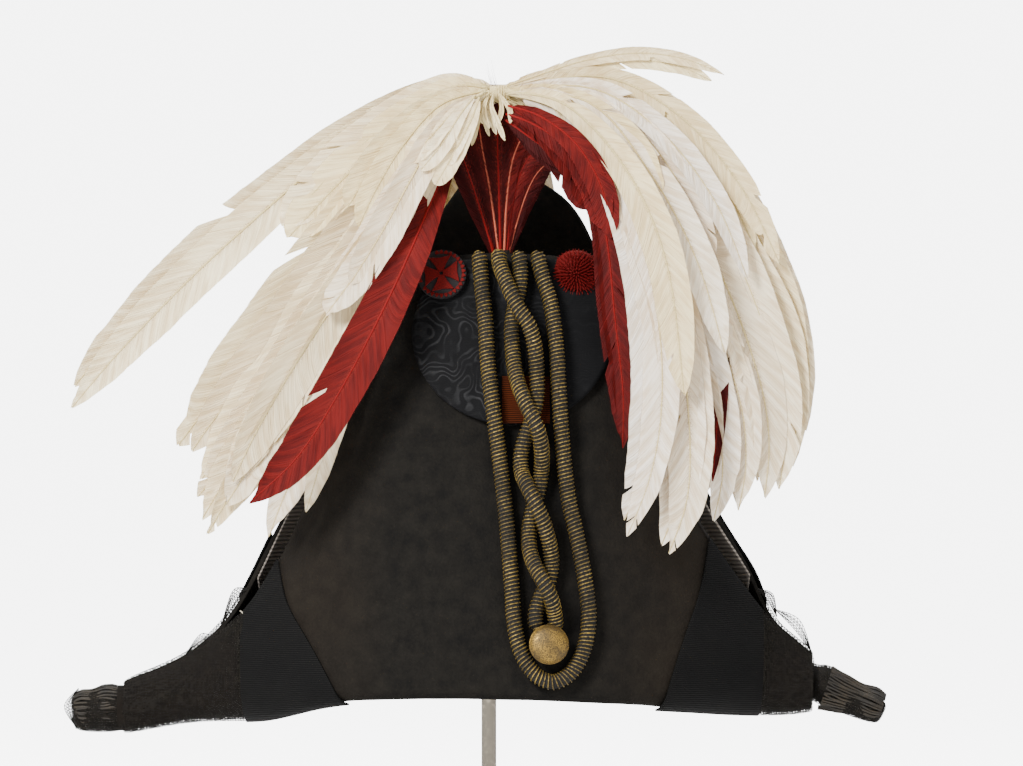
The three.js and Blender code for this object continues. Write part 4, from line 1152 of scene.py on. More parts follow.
def seen_at(px: float, py: float, forward: float) -> Vector:
    """Return the place of a reading on the front view.

    Args:
        px: Steps to the right.
        py: Steps down.
        forward: Millimetres in front of the plume's stem.

    Returns:
        The place, in metres.
    """
    x = (px - GRID_ZERO[0]) * GRID_STEP
    z = RIM_HEIGHT + (GRID_ZERO[1] - py) * GRID_STEP
    return Vector((x, STEM_Y - forward, z)) * MM


# Cockade, rosettes, loop, button and tassels


@dataclass
class Cockade:
    """The pleated silk disc and the orange tab before it."""

    wardrobe: Wardrobe
    fold_height: float = 1.5 * MM
    fold_root: tuple[float, float, float] = (2.0, 0.0, 352.0)
    fold_start: float = 4 * MM
    fold_reach: float = 55 * MM
    plain_from: float = 34 * MM

    def build(self) -> None:
        """Build and dress the cockade and its tab."""
        piece = smooth_copy("cockade", "cockade_silk", 3, 0.0)
        self.fold(piece)
        dress(piece, self.wardrobe.cockade)
        finish_piece(piece, "cockade_silk", "cockade")
        tab = smooth_copy("loop_tab", "tab_silk", 3, 0.2 * MM)
        dress(tab, self.wardrobe.orange)
        finish_piece(tab, "orange_silk", "loop_tab")

    def fold(self, piece: bpy.types.Object) -> None:
        """Raise soft folds that spread from the upper middle of the disc.

        Args:
            piece: The cockade.
        """
        root = Vector(self.fold_root) * MM
        for vertex in piece.data.vertices:
            across = vertex.co.x - root.x
            down = root.z - vertex.co.z + self.fold_start
            if vertex.normal.y > -0.4 or across > self.plain_from:
                continue
            turn = math.atan2(across, down)
            far = min(1.0, math.hypot(across, down) / self.fold_reach)
            wave = math.sin(turn * 9.0 + 0.6) + 0.5 * math.sin(turn * 17.0 + 1.9)
            vertex.co += FACING * self.fold_height * 0.55 * far * max(-0.4, wave)


@dataclass
class Rosettes:
    """The cross rosette on the left and the spiked one on the right."""

    wardrobe: Wardrobe
    radius: float = 13.2 * MM
    disc_height: float = 3.0 * MM
    dome_height: float = 5.6 * MM
    ring_teeth: int = 30
    lost_teeth: tuple[int, ...] = (9, 10, 17)
    tooth: tuple[tuple[float, float, float], ...] = (
        (-0.46, 10.9, 3.9), (0.46, 10.9, 3.9), (0.42, 11.9, 4.5), (0.0, 13.3, 4.0), (-0.42, 11.9, 4.5))
    cross_half: float = 9.2
    spike_length: float = 2.6 * MM
    rows: tuple[tuple[float, int, float], ...] = (
        (14.2, 44, 10.0), (12.8, 40, 20.0), (11.2, 36, 30.0), (9.4, 31, 38.0), (7.6, 26, 48.0),
        (5.6, 19, 58.0), (3.6, 12, 68.0), (1.5, 6, 82.0))

    def build(self) -> None:
        """Build and dress both rosettes."""
        self.build_cross()
        self.build_spiked()

    def build_cross(self) -> None:
        """Build the black disc with its red toothed ring and red cross."""
        foot, turn = facing_of("rosette_left")
        bpy.ops.mesh.primitive_cylinder_add(vertices=72, radius=self.radius, depth=self.disc_height,
                                            location=(0, 0, self.disc_height / 2))
        disc = fresh_shape("rosette_cross")
        with editing(disc):
            bpy.ops.mesh.select_mode(type="FACE")
            bpy.ops.mesh.select_all(action="DESELECT")
        for face in disc.data.polygons:
            face.select = face.normal.z > 0.9
        bpy.ops.object.mode_set(mode="EDIT")
        bpy.ops.mesh.inset(thickness=1.2 * MM, depth=0.5 * MM)
        bpy.ops.mesh.inset(thickness=5.0 * MM, depth=0.5 * MM)
        bpy.ops.object.mode_set(mode="OBJECT")
        disc.data.materials.append(self.wardrobe.black)
        piece = join_pieces(disc, self.tooth_ring(), self.cross_arms())
        seat(piece, foot, turn @ Matrix.Rotation(math.radians(6), 4, "Z"))
        only(piece)
        bpy.ops.object.shade_smooth_by_angle(angle=math.radians(35))
        finish_piece(piece, "red_silk", "rosette_left")

    def tooth_ring(self) -> bpy.types.Object:
        """Build the ring of small red teeth, broken in two places.

        Returns:
            The ring.
        """
        vertices, faces = [], []
        step = 2 * math.pi / self.ring_teeth
        for number in range(self.ring_teeth):
            if number in self.lost_teeth:
                continue
            base = 2 * math.pi * number / self.ring_teeth
            faces += self.prism_faces(len(vertices), len(self.tooth))
            for share, reach, height in self.tooth:
                turn = base + share * step
                for level in (height, 2.6):
                    vertices.append(Vector((reach * math.cos(turn), reach * math.sin(turn), level)) * MM)
        return self.red_mesh("rosette_ring", vertices, faces)

    def cross_arms(self) -> bpy.types.Object:
        """Build the four flared arms of the cross.

        Returns:
            The arms.
        """
        vertices, faces = [], []
        half = self.cross_half
        outline = ((0.9, -1.3), (half * 0.5, -2.9), (half, -6.0), (half * 0.93, 0.0), (half, 6.0),
                   (half * 0.5, 2.9), (0.9, 1.3))
        for arm in range(4):
            turn = Matrix.Rotation(arm * math.pi / 2, 4, "Z")
            faces += self.prism_faces(len(vertices), len(outline))
            for x, y in outline:
                for level in (5.3 if x < half * 0.8 else 4.9, 3.4):
                    vertices.append(turn @ (Vector((x, y, level)) * MM))
        return self.red_mesh("rosette_cross_arms", vertices, faces)

    def prism_faces(self, start: int, count: int) -> list[list[int]]:
        """Return the faces of a small flat block, whose upper and lower points take turns.

        Args:
            start: The number of its first point.
            count: How many corners it has.

        Returns:
            The points of each face.
        """
        top = [start + 2 * i for i in range(count)]
        low = [start + 2 * i + 1 for i in range(count)]
        faces = [top, low[::-1]]
        for i in range(count):
            j = (i + 1) % count
            faces.append([top[i], low[i], low[j], top[j]])
        return faces

    def red_mesh(self, name: str, vertices: list[Vector], faces: list[list[int]]) -> bpy.types.Object:
        """Return a red mesh piece with slightly rounded edges.

        Args:
            name: The piece's name.
            vertices: Its points.
            faces: The points of each face.

        Returns:
            The piece, whose faces use the second material.
        """
        mesh = bpy.data.meshes.new(name)
        mesh.from_pydata(vertices, [], faces)
        piece = add_object(name, mesh)
        dress(piece, self.wardrobe.black, self.wardrobe.red)
        for face in mesh.polygons:
            face.material_index = 1
        with editing(piece):
            bpy.ops.mesh.normals_make_consistent(inside=False)
        rounding = piece.modifiers.new("rounding", "BEVEL")
        rounding.width = 0.2 * MM
        rounding.segments = 1
        apply_all(piece)
        return piece

    def build_spiked(self) -> None:
        """Build the domed rosette from rows of small red spikes."""
        foot, turn = facing_of("rosette_right")
        bpy.ops.mesh.primitive_uv_sphere_add(segments=40, ring_count=20, radius=1.0)
        bpy.context.active_object.scale = (self.radius, self.radius, self.dome_height)
        dome = fresh_shape("rosette_spiked")
        with editing(dome):
            bpy.ops.mesh.bisect(plane_co=(0, 0, 0), plane_no=(0, 0, 1), clear_inner=True, use_fill=True)
        dome.data.materials.append(self.wardrobe.red)
        piece = join_pieces(dome, self.spikes())
        seat(piece, foot, turn)
        only(piece)
        bpy.ops.object.shade_smooth_by_angle(angle=math.radians(30))
        finish_piece(piece, "red_silk", "rosette_right")

    def spikes(self) -> bpy.types.Object:
        """Copy all spikes from one small cone.

        Returns:
            The spikes.
        """
        bpy.ops.mesh.primitive_cone_add(vertices=5, radius1=1.0 * MM, radius2=0.5 * MM,
                                        depth=self.spike_length, location=(0, 0, self.spike_length / 2))
        model = fresh_shape("rosette_spike")
        with editing(model):
            bpy.ops.transform.resize(value=(1.0, 0.6, 1.0))
        chance = random.Random(7)
        widest = self.rows[0][0]
        copies = []
        for row, (reach, count, lift) in enumerate(self.rows):
            for index in range(count):
                around = 2 * math.pi * (index + 0.5 * (row % 2)) / count + chance.uniform(-0.04, 0.04)
                pitch = math.radians(90 - lift + chance.uniform(-6, 6))
                copy = add_object("rosette_spike", model.data.copy())
                height = 0.6 + 5.2 * math.sqrt(max(0.0, 1 - (reach / widest) ** 2))
                root = Vector((reach - 3.0 * math.sin(pitch), 0.0, height)) * MM
                tilt = Matrix.Translation(root) @ Matrix.Rotation(pitch, 4, "Y")
                copy.data.transform(Matrix.Rotation(around, 4, "Z") @ tilt)
                copies.append(copy)
        bpy.data.objects.remove(model)
        piece = join_pieces(*copies)
        piece.name = "rosette_spikes"
        piece.data.materials.append(self.wardrobe.red)
        return piece


@dataclass
class LoopRopes:
    """The bullion ropes of the loop, each a gold wire coiled round a dark core."""

    wardrobe: Wardrobe
    coil_radius: float = 4.0 * MM
    wire_radius: float = 0.33 * MM
    core_radius: float = 3.6 * MM
    pitch: float = 2.05 * MM
    starts: int = 2
    turn_steps: int = 18

    def build(self) -> None:
        """Build and dress the three ropes."""
        for node in ("loop_outer", "loop_inner_a", "loop_inner_b"):
            centre = self.centreline(node)
            wire = self.coil(node + "_wire", centre)
            core = self.core(node + "_core", centre)
            wire.data.materials.append(self.wardrobe.wire)
            core.data.materials.append(self.wardrobe.core)
            piece = join_pieces(wire, core)
            piece.name = node + "_bullion"
            finish_piece(piece, "bullion", node)

    def centreline(self, node: str) -> list[Vector]:
        """Return the middle of a rope node, ring by ring from one end.

        Args:
            node: The rope's name.

        Returns:
            The rings' centres.
        """
        mesh = bmesh.new()
        mesh.from_mesh(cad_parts[node].data)
        bmesh.ops.remove_doubles(mesh, verts=mesh.verts, dist=MERGE)
        ring = self.end_ring(mesh)
        centres = []
        seen: set = set()
        while ring:
            centres.append(sum((vertex.co for vertex in ring), Vector()) / len(ring))
            seen |= ring
            ring = {edge.other_vert(vertex) for vertex in ring for edge in vertex.link_edges} - seen
        mesh.free()
        return centres

    def end_ring(self, mesh: bmesh.types.BMesh) -> set:
        """Return the vertices of one flat end of a rope.

        Args:
            mesh: The merged rope.

        Returns:
            The end's vertices.
        """
        done: set = set()
        for face in mesh.faces:
            if face in done:
                continue
            patch, front = {face}, [face]
            while front:
                for edge in front.pop().edges:
                    for other in edge.link_faces:
                        if other not in patch and other.normal.dot(face.normal) > 0.99995:
                            patch.add(other)
                            front.append(other)
            done |= patch
            corners = {vertex for other in patch for vertex in other.verts}
            middle = sum((vertex.co for vertex in corners), Vector()) / len(corners)
            reach = [(vertex.co - middle).length for vertex in corners]
            if len(corners) == 8 and len(patch) == 6 and max(reach) < 1.05 * min(reach):
                return corners
        raise ValueError("a rope has no flat end")

    def frames(self, centre: list[Vector],
               step: float) -> tuple[list[Vector], list[Vector], list[Vector], float]:
        """Return close points on a rope with two directions across it.

        Args:
            centre: The rings' centres.
            step: The distance between points, in metres.

        Returns:
            The points, the two directions at each, and the rope's length.
        """
        rough = smooth_route(centre, 200)
        length = sum((b - a).length for a, b in zip(rough, rough[1:]))
        count = max(8, int(length / step))
        points = smooth_route(centre, count)
        sides, ups = [], []
        side = FACING
        for index in range(count):
            along = (points[min(index + 1, count - 1)] - points[max(index - 1, 0)]).normalized()
            side = (side - along * side.dot(along)).normalized()
            sides.append(side.copy())
            ups.append(along.cross(side))
        return points, sides, ups, length

    def swell(self, place: float, length: float) -> float:
        """Return the share of the full radius near a rope's rounded ends."""
        near = min(place, length - place) / self.coil_radius
        return math.sqrt(max(0.02, 1 - (1 - min(1.0, near)) ** 2))

    def coil(self, name: str, centre: list[Vector]) -> bpy.types.Object:
        """Return the wire coiled along a rope.

        Args:
            name: The piece's name.
            centre: The rings' centres.

        Returns:
            The coiled wire.
        """
        step = self.pitch * self.starts / self.turn_steps
        points, sides, ups, length = self.frames(centre, step)
        routes = []
        for start in range(self.starts):
            route = []
            for index, point in enumerate(points):
                turn = 2 * math.pi * (index / self.turn_steps + start / self.starts)
                reach = self.coil_radius * self.swell(index * length / len(points), length)
                route.append(point + (sides[index] * math.cos(turn) + ups[index] * math.sin(turn)) * reach)
            routes.append(route)
        return wire_piece(name, routes, self.wire_radius, 0)

    def core(self, name: str, centre: list[Vector]) -> bpy.types.Object:
        """Return the dark core inside a rope's coil.

        Args:
            name: The piece's name.
            centre: The rings' centres.

        Returns:
            The core.
        """
        points, _, _, length = self.frames(centre, 2.0 * MM)
        thick = [self.swell(index * length / (len(points) - 1), length) for index in range(len(points))]
        return wire_piece(name, [points], self.core_radius, 4, [thick])


@dataclass
class Button:
    """The gilt domed button at the foot of the loop."""

    wardrobe: Wardrobe
    radius: float = 10.2 * MM
    dome: float = 4.6 * MM
    seat_height: float = 9.9 * MM
    shank_length: float = 9.6 * MM

    def build(self) -> None:
        """Build and dress the button."""
        foot, turn = facing_of("button")
        bpy.ops.mesh.primitive_uv_sphere_add(segments=64, ring_count=32, radius=1.0)
        bpy.context.active_object.scale = (self.radius, self.radius, self.dome)
        piece = fresh_shape("button_gilt")
        with editing(piece):
            bpy.ops.mesh.bisect(plane_co=(0, 0, -0.3 * MM), plane_no=(0, 0, 1), clear_inner=True,
                                use_fill=True)
        piece.data.transform(Matrix.Translation((0, 0, self.seat_height)))
        bpy.ops.mesh.primitive_torus_add(major_radius=self.radius - 0.4 * MM, minor_radius=0.8 * MM,
                                         major_segments=64, minor_segments=10,
                                         location=(0, 0, self.seat_height))
        rim = fresh_shape("button_rim")
        bpy.ops.mesh.primitive_cylinder_add(vertices=24, radius=2.6 * MM, depth=self.shank_length,
                                            location=(0, 0, self.shank_length / 2))
        piece = join_pieces(piece, rim, fresh_shape("button_shank"))
        seat(piece, foot, turn)
        only(piece)
        bpy.ops.object.shade_smooth_by_angle(angle=math.radians(40))
        dress(piece, self.wardrobe.gilt)
        finish_piece(piece, "gilt", "button")


@dataclass
class Tassels:
    """Bundles of bullion strands in the two corners."""

    wardrobe: Wardrobe
    strands: int = 46
    strand_radius: float = 0.6 * MM
    slices: tuple[float, ...] = (0.42, 0.5, 0.6, 0.75, 0.9, 0.99)

    def build(self) -> None:
        """Build and dress both tassels."""
        for side in Side:
            node = "tassel_" + side.name.lower()
            core = smooth_copy(node, node + "_bundle", 1, 0.0)
            dress(core, self.wardrobe.core)
            strands = self.build_strands(node, side)
            strands.data.materials.append(self.wardrobe.strand)
            piece = join_pieces(core, strands)
            finish_piece(piece, "bullion", node)

    def build_strands(self, node: str, side: Side) -> bpy.types.Object:
        """Return the strands that lie round a tassel's bundle.

        Args:
            node: The tassel's name.
            side: The end of the hat.

        Returns:
            The strands.
        """
        chance = random.Random(17 + side.value)
        vertices = [vertex.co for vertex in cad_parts[node].data.vertices]
        inner = min(vertices, key=lambda co: side.value * co.x)
        outer = max(vertices, key=lambda co: side.value * co.x)
        start = self.middle_near(vertices, inner.x)
        end = self.middle_near(vertices, outer.x)
        along = (end - start).normalized()
        length = (end - start).length
        first = Vector((0.0, 1.0, 0.0))
        second = along.cross(first).normalized()
        reaches = [self.reach_at(vertices, start, along, length * share) for share in self.slices]
        routes = []
        for strand in range(self.strands):
            turn = 2 * math.pi * strand / self.strands + chance.uniform(-0.05, 0.05)
            route = []
            for share, reach in zip(self.slices, reaches):
                swing = turn + 0.35 * share + chance.uniform(-0.06, 0.06)
                spread = reach * chance.uniform(0.97, 1.03)
                direction = first * math.cos(swing) + second * math.sin(swing)
                route.append(start + along * length * share + direction * spread)
            routes.append(smooth_route(route, 16))
        return wire_piece(node + "_strands", routes, self.strand_radius, 1)

    def middle_near(self, vertices: list[Vector], x: float) -> Vector:
        """Return the middle of the vertices close to a place along X.

        Args:
            vertices: The tassel's vertices.
            x: The place, in metres.

        Returns:
            The middle of their box.
        """
        close = [co for co in vertices if abs(co.x - x) < 3.0 * MM]
        low = Vector([min(co[i] for co in close) for i in range(3)])
        high = Vector([max(co[i] for co in close) for i in range(3)])
        return (low + high) / 2

    def reach_at(self, vertices: list[Vector], start: Vector, along: Vector, place: float) -> float:
        """Return the bundle's radius at a place along it, from the rings on either side.

        Args:
            vertices: The tassel's vertices.
            start: The bundle's first middle.
            along: Its direction.
            place: The distance from the start, in metres.

        Returns:
            The radius, in metres.
        """
        rings = []
        for co in vertices:
            far = (co - start).dot(along)
            rings.append((far, ((co - start) - along * far).length))
        rings = [row for row in sorted(rings) if row[1] > 2.0 * MM]
        before = [row for row in rings if row[0] <= place] or rings[:1]
        after = [row for row in rings if row[0] > place] or rings[-1:]
        low, high = max(before), min(after)
        gap = high[0] - low[0]
        share = 0.0 if gap < 1e-6 else (place - low[0]) / gap
        return low[1] + (high[1] - low[1]) * share


# Plume


@dataclass(frozen=True)
class FeatherRow:
    """Feathers that lie side by side along one route.

    The route's points are readings on the front view, and forward gives the distance in front
    of the stem at its start, middle and end, in millimetres, as width and spread are.
    """

    route: tuple[Pair, ...]
    forward: tuple[float, float, float]
    width: float
    count: int
    spread: float
    tone: float = 0.2
    # The row's share of the low colour: painted shade between layers of feathers.
    lower: float = 0.0


@dataclass
class FeatherBed:
    """A growing mesh of feathers: vanes and quills, with a map and a tone for each."""

    chance: random.Random
    stations: int = 64
    across: int = 6
    vertices: list[Vector] = field(default_factory=list)
    faces: list[tuple[int, ...]] = field(default_factory=list)
    marks: list[int] = field(default_factory=list)
    maps: list[Pair] = field(default_factory=list)
    tones: list[Pair] = field(default_factory=list)

    def add_point(self, point: Vector, place: Pair, tone: Pair) -> int:
        """Add a vertex.

        Args:
            point: Where it is, in metres.
            place: Its place on the map.
            tone: Its feather's tone.

        Returns:
            Its number.
        """
        self.vertices.append(point)
        self.maps.append(place)
        self.tones.append(tone)
        return len(self.vertices) - 1

    def add_face(self, corners: tuple[int, ...], mark: int) -> None:
        """Add a face with its material number."""
        self.faces.append(corners)
        self.marks.append(mark)

    def half_width(self, share: float, style: VaneStyle) -> float:
        """Return the vane's half width at a place along it.

        Args:
            share: The place, as a share of the feather's length.
            style: How the barbs hold together.

        Returns:
            The half width, as a share of the widest.
        """
        rows = ((0.0, 0.16), (0.12, 0.46), (0.3, 0.8), (0.52, 1.0), (0.72, 0.96), (0.86, 0.7), (0.95, 0.34),
                (1.0, 0.04))
        if style is VaneStyle.LOOSE:
            rows = ((0.0, 0.1), (0.25, 0.22), (0.5, 0.7), (0.8, 1.0), (1.0, 0.8))
        for (low, first), (high, second) in zip(rows, rows[1:]):
            if share <= high:
                return first + (second - first) * (share - low) / (high - low)
        return rows[-1][1]

    def add_feather(self, points: list[Vector], width: float, roll: float, cup: float, style: VaneStyle,
                    tone: Pair) -> None:
        """Add one feather.

        Args:
            points: What its quill passes through, in metres.
            width: Its widest width, in metres.
            roll: How far it is turned about its quill, in radians.
            cup: How far its edges bend back, as a share of its half width.
            style: How its barbs hold together.
            tone: Its place between the two colours, and its share of the low colour, which is painted shade.
        """
        spine = smooth_route(points, self.stations + 1)
        length = sum((b - a).length for a, b in zip(spine, spine[1:]))
        frames = []
        for index, point in enumerate(spine):
            along = (spine[min(index + 1, self.stations)] - spine[max(index - 1, 0)]).normalized()
            side = along.cross(FACING).normalized()
            side = Matrix.Rotation(roll, 3, along) @ side
            frames.append((point, along, side, side.cross(along)))
        self.add_quill(frames, width, tone)
        for side in (-1, 1):
            if style is VaneStyle.BROAD:
                self.add_vane(frames, length, width / 2, side, cup, tone)
            else:
                self.add_strands(frames, length, width / 2, side, tone)

    def at(self, frames: list[tuple], share: float, length: float) -> tuple[Vector, Vector, Vector]:
        """Return a place on a quill or past its tip.

        Args:
            frames: Place and directions along the quill.
            share: How far along it, as a share of its length.
            length: The quill's length.

        Returns:
            The place, the direction to the side and the direction to the back.
        """
        place = min(share, 1.0) * (len(frames) - 1)
        index = min(int(place), len(frames) - 2)
        part = place - index
        point = frames[index][0].lerp(frames[index + 1][0], part)
        if share > 1.0:
            point = point + frames[-1][1] * (share - 1.0) * length
        return point, frames[index][2], frames[index][3]

    def add_quill(self, frames: list[tuple], width: float, tone: Pair) -> None:
        """Add the thin tapered quill along a feather.

        Args:
            frames: Place and directions along the quill.
            width: The feather's widest width.
            tone: The feather's tone.
        """
        sides = 5
        steps = 30
        rings = []
        for step in range(steps + 1):
            share = step / steps
            point, _, side, back = frames[int(share * (len(frames) - 1))]
            radius = (0.3 + 0.6 * (1 - share)) * MM * min(1.1, 0.35 + 0.65 * width / (28 * MM))
            ring = []
            for corner in range(sides):
                turn = 2 * math.pi * corner / sides
                offset = side * math.cos(turn) * radius + back * math.sin(turn) * radius
                ring.append(self.add_point(point + offset, (share * 40, 0.0), tone))
            rings.append(ring)
        for low, high in zip(rings, rings[1:]):
            for corner in range(sides):
                after = (corner + 1) % sides
                self.add_face((low[corner], low[after], high[after], high[corner]), 1)
        self.add_face(tuple(rings[0][::-1]), 1)
        self.add_face(tuple(rings[-1]), 1)

    def clumps(self) -> list[tuple[int, int, float]]:
        """Return the clumps that barbs hold together in.

        Returns:
            For each one its first and last barb, and where the split before it opens.
        """
        rows = []
        start = 0
        while start < self.stations:
            end = min(self.stations, start + self.chance.randint(8, 34))
            deep = self.chance.random()
            rows.append((start, end, 0.2 + 1.2 * deep if deep < 0.36 else 1.0))
            start = end
        return rows

    def add_vane(self, frames: list[tuple], length: float, half: float, side: int, cup: float,
                 tone: Pair) -> None:
        """Add the vane on one side of a quill.

        Args:
            frames: Place and directions along the quill.
            length: The quill's length.
            half: The widest half width.
            side: -1 or 1.
            cup: How far the edge bends back, as a share of the half width.
            tone: The feather's tone.
        """
        previous: list[int] | None = None
        phase = self.chance.uniform(0, 6)
        for first, last, split in self.clumps():
            centre = (first + last) / 2 / self.stations
            pull = self.chance.uniform(0.0, 0.035)
            if split < 0.8:
                pull += self.chance.uniform(0.06, 0.17)
            lift = self.chance.uniform(-0.02, 0.03)
            for number in range(first, last + 1):
                fresh = 0.25 if number == first and previous is not None else 0.0
                share = 0.03 + 0.97 * min(1.0, (number + fresh) / self.stations)
                wide = half * self.half_width(share, VaneStyle.BROAD) * self.chance.uniform(0.985, 1.015)
                lean = 0.9 + 1.5 * share
                row = []
                for step in range(self.across + 1):
                    out = step / self.across
                    moved = share + (centre - share) * pull * out * out
                    step_on = wide * lean * (out ** 1.2) / length
                    room = max(0.015, 1.03 - moved)
                    ahead = moved + step_on * room / (room + step_on)
                    point, across, back = self.at(frames, ahead, length)
                    wave = 0.05 * math.sin(share * 23 + phase + out * 2)
                    height = back * wide * (out * out * (cup + lift) + wave * out)
                    place = (share * length / MM, out)
                    row.append(self.add_point(point + across * side * wide * out + height, place, tone))
                if previous is not None:
                    limit = self.across if number > first else int(split * self.across)
                    for step in range(min(self.across, limit)):
                        corners = (previous[step], previous[step + 1], row[step + 1], row[step])
                        self.add_face(corners if side > 0 else corners[::-1], 0)
                previous = row

    def add_strands(self, frames: list[tuple], length: float, half: float, side: int,
                    tone: Pair) -> None:
        """Add loose single barbs on one side of a quill.

        Args:
            frames: Place and directions along the quill.
            length: The quill's length.
            half: The widest half width.
            side: -1 or 1.
            tone: The feather's tone.
        """
        count = int(self.stations * 2.6)
        thin = 0.26 * MM
        for number in range(count):
            share = (number + self.chance.random()) / count
            if share < 0.1:
                continue
            wide = half * self.half_width(share, VaneStyle.LOOSE) * self.chance.uniform(0.6, 1.15)
            lean = self.chance.uniform(1.0, 2.0)
            drift = self.chance.uniform(-0.35, 0.35)
            edge = []
            for step in range(6):
                out = step / 5
                point, across, back = self.at(frames, share + wide * lean * out / length, length)
                spot = point + across * side * wide * (out ** 0.8) + back * wide * drift * out * out
                along = frames[min(int(share * (len(frames) - 1)), len(frames) - 1)][1]
                gap = along * thin * (1.0 - 0.75 * out)
                place = (share * length / MM, out * 0.55)
                near = self.add_point(spot - gap, place, tone)
                edge.append((near, self.add_point(spot + gap, place, tone)))
            for (a, b), (c, d) in zip(edge, edge[1:]):
                self.add_face((a, c, d, b) if side > 0 else (b, d, c, a), 0)

    def make(self, name: str, *materials: bpy.types.Material) -> bpy.types.Object:
        """Return the feathers as one piece.

        Args:
            name: The piece's name.
            materials: The vanes' and the quills' materials.

        Returns:
            The piece.
        """
        mesh = bpy.data.meshes.new(name)
        mesh.from_pydata(self.vertices, [], self.faces)
        layer = mesh.uv_layers.new(name="barbs")
        for loop in mesh.loops:
            layer.data[loop.index].uv = self.maps[loop.vertex_index]
        colours = mesh.color_attributes.new("tone", "FLOAT_COLOR", "POINT")
        for index, (tone, low) in enumerate(self.tones):
            colours.data[index].color = (tone, low, 0.0, 1.0)
        piece = add_object(name, mesh)
        dress(piece, *materials)
        for face, mark in zip(mesh.polygons, self.marks):
            face.material_index = mark
            face.use_smooth = True
        return piece


LEFT_ROWS = (
    FeatherRow(((492, 92), (455, 84), (385, 116), (300, 180), (200, 268), (120, 350), (74, 404)),
               (8, 10, 10), 28, 2, 4),
    FeatherRow(((490, 92), (450, 90), (395, 128), (340, 178), (285, 236)), (12, 14, 14), 26, 2, 6),
    FeatherRow(((488, 94), (440, 108), (385, 180), (330, 255), (262, 350), (205, 425), (188, 448)),
               (14, 16, 17), 32, 2, 5),
    FeatherRow(((486, 96), (440, 120), (395, 195), (345, 275), (275, 385), (222, 462), (200, 490)),
               (17, 20, 21), 33, 2, 5, 0.3),
    FeatherRow(((484, 98), (442, 130), (405, 205), (355, 290), (290, 400), (235, 480), (206, 528)),
               (20, 23, 24), 27, 2, 5, 0.4),
    FeatherRow(((482, 100), (445, 140), (400, 215), (345, 300), (290, 395), (245, 465), (222, 500)),
               (22, 26, 27), 30, 2, 5, 0.5),
    FeatherRow(((480, 102), (456, 138), (408, 205), (352, 285), (303, 360), (262, 430), (238, 480)),
               (24, 29, 30), 28, 1, 4, 0.5),
    FeatherRow(((478, 110), (430, 200), (362, 330), (312, 440), (285, 500), (272, 534)),
               (8, 16, 16), 24, 1, 3, 0.7),
    FeatherRow(((470, 115), (425, 205), (362, 330), (336, 410), (320, 470), (308, 510)),
               (10, 18, 20), 18, 1, 3, 0.7),
    FeatherRow(((486, 96), (446, 124), (414, 180), (384, 235), (355, 283)),
               (24, 35, 38), 22, 1, 4, 0.8, 0.05),
    FeatherRow(((486, 95), (440, 108), (400, 148), (372, 188), (349, 229)),
               (21, 27, 29), 20, 2, 6, 0.1, 0.05),
    FeatherRow(((484, 98), (448, 128), (408, 195), (368, 262), (327, 317)), (23, 33, 36), 23, 1, 4, 0.9),
    FeatherRow(((480, 102), (470, 122), (452, 152), (432, 186)), (26, 35, 36), 15, 2, 6, 0.3),
    FeatherRow(((476, 100), (458, 118), (436, 146), (412, 172)), (26, 35, 36), 13, 2, 6, 0.2),
    FeatherRow(((492, 96), (482, 108), (474, 124), (470, 148)), (19, 23, 24), 3.6, 3, 2.6, 0.1),
    FeatherRow(((494, 97), (489, 110), (491, 126), (498, 147)), (19, 23, 24), 3.0, 3, 2.4, 0.1),
    FeatherRow(((490, 95), (476, 103), (466, 116), (461, 136)), (19, 22, 23), 4.2, 3, 3, 0.1),
    FeatherRow(((490, 96), (484, 108), (482, 120), (485, 134)), (20, 24, 25), 3.0, 2, 3, 0.0),
    FeatherRow(((498, 96), (503, 106), (506, 116), (504, 128)), (19, 22, 23), 3.0, 2, 2.6, 0.0),
)
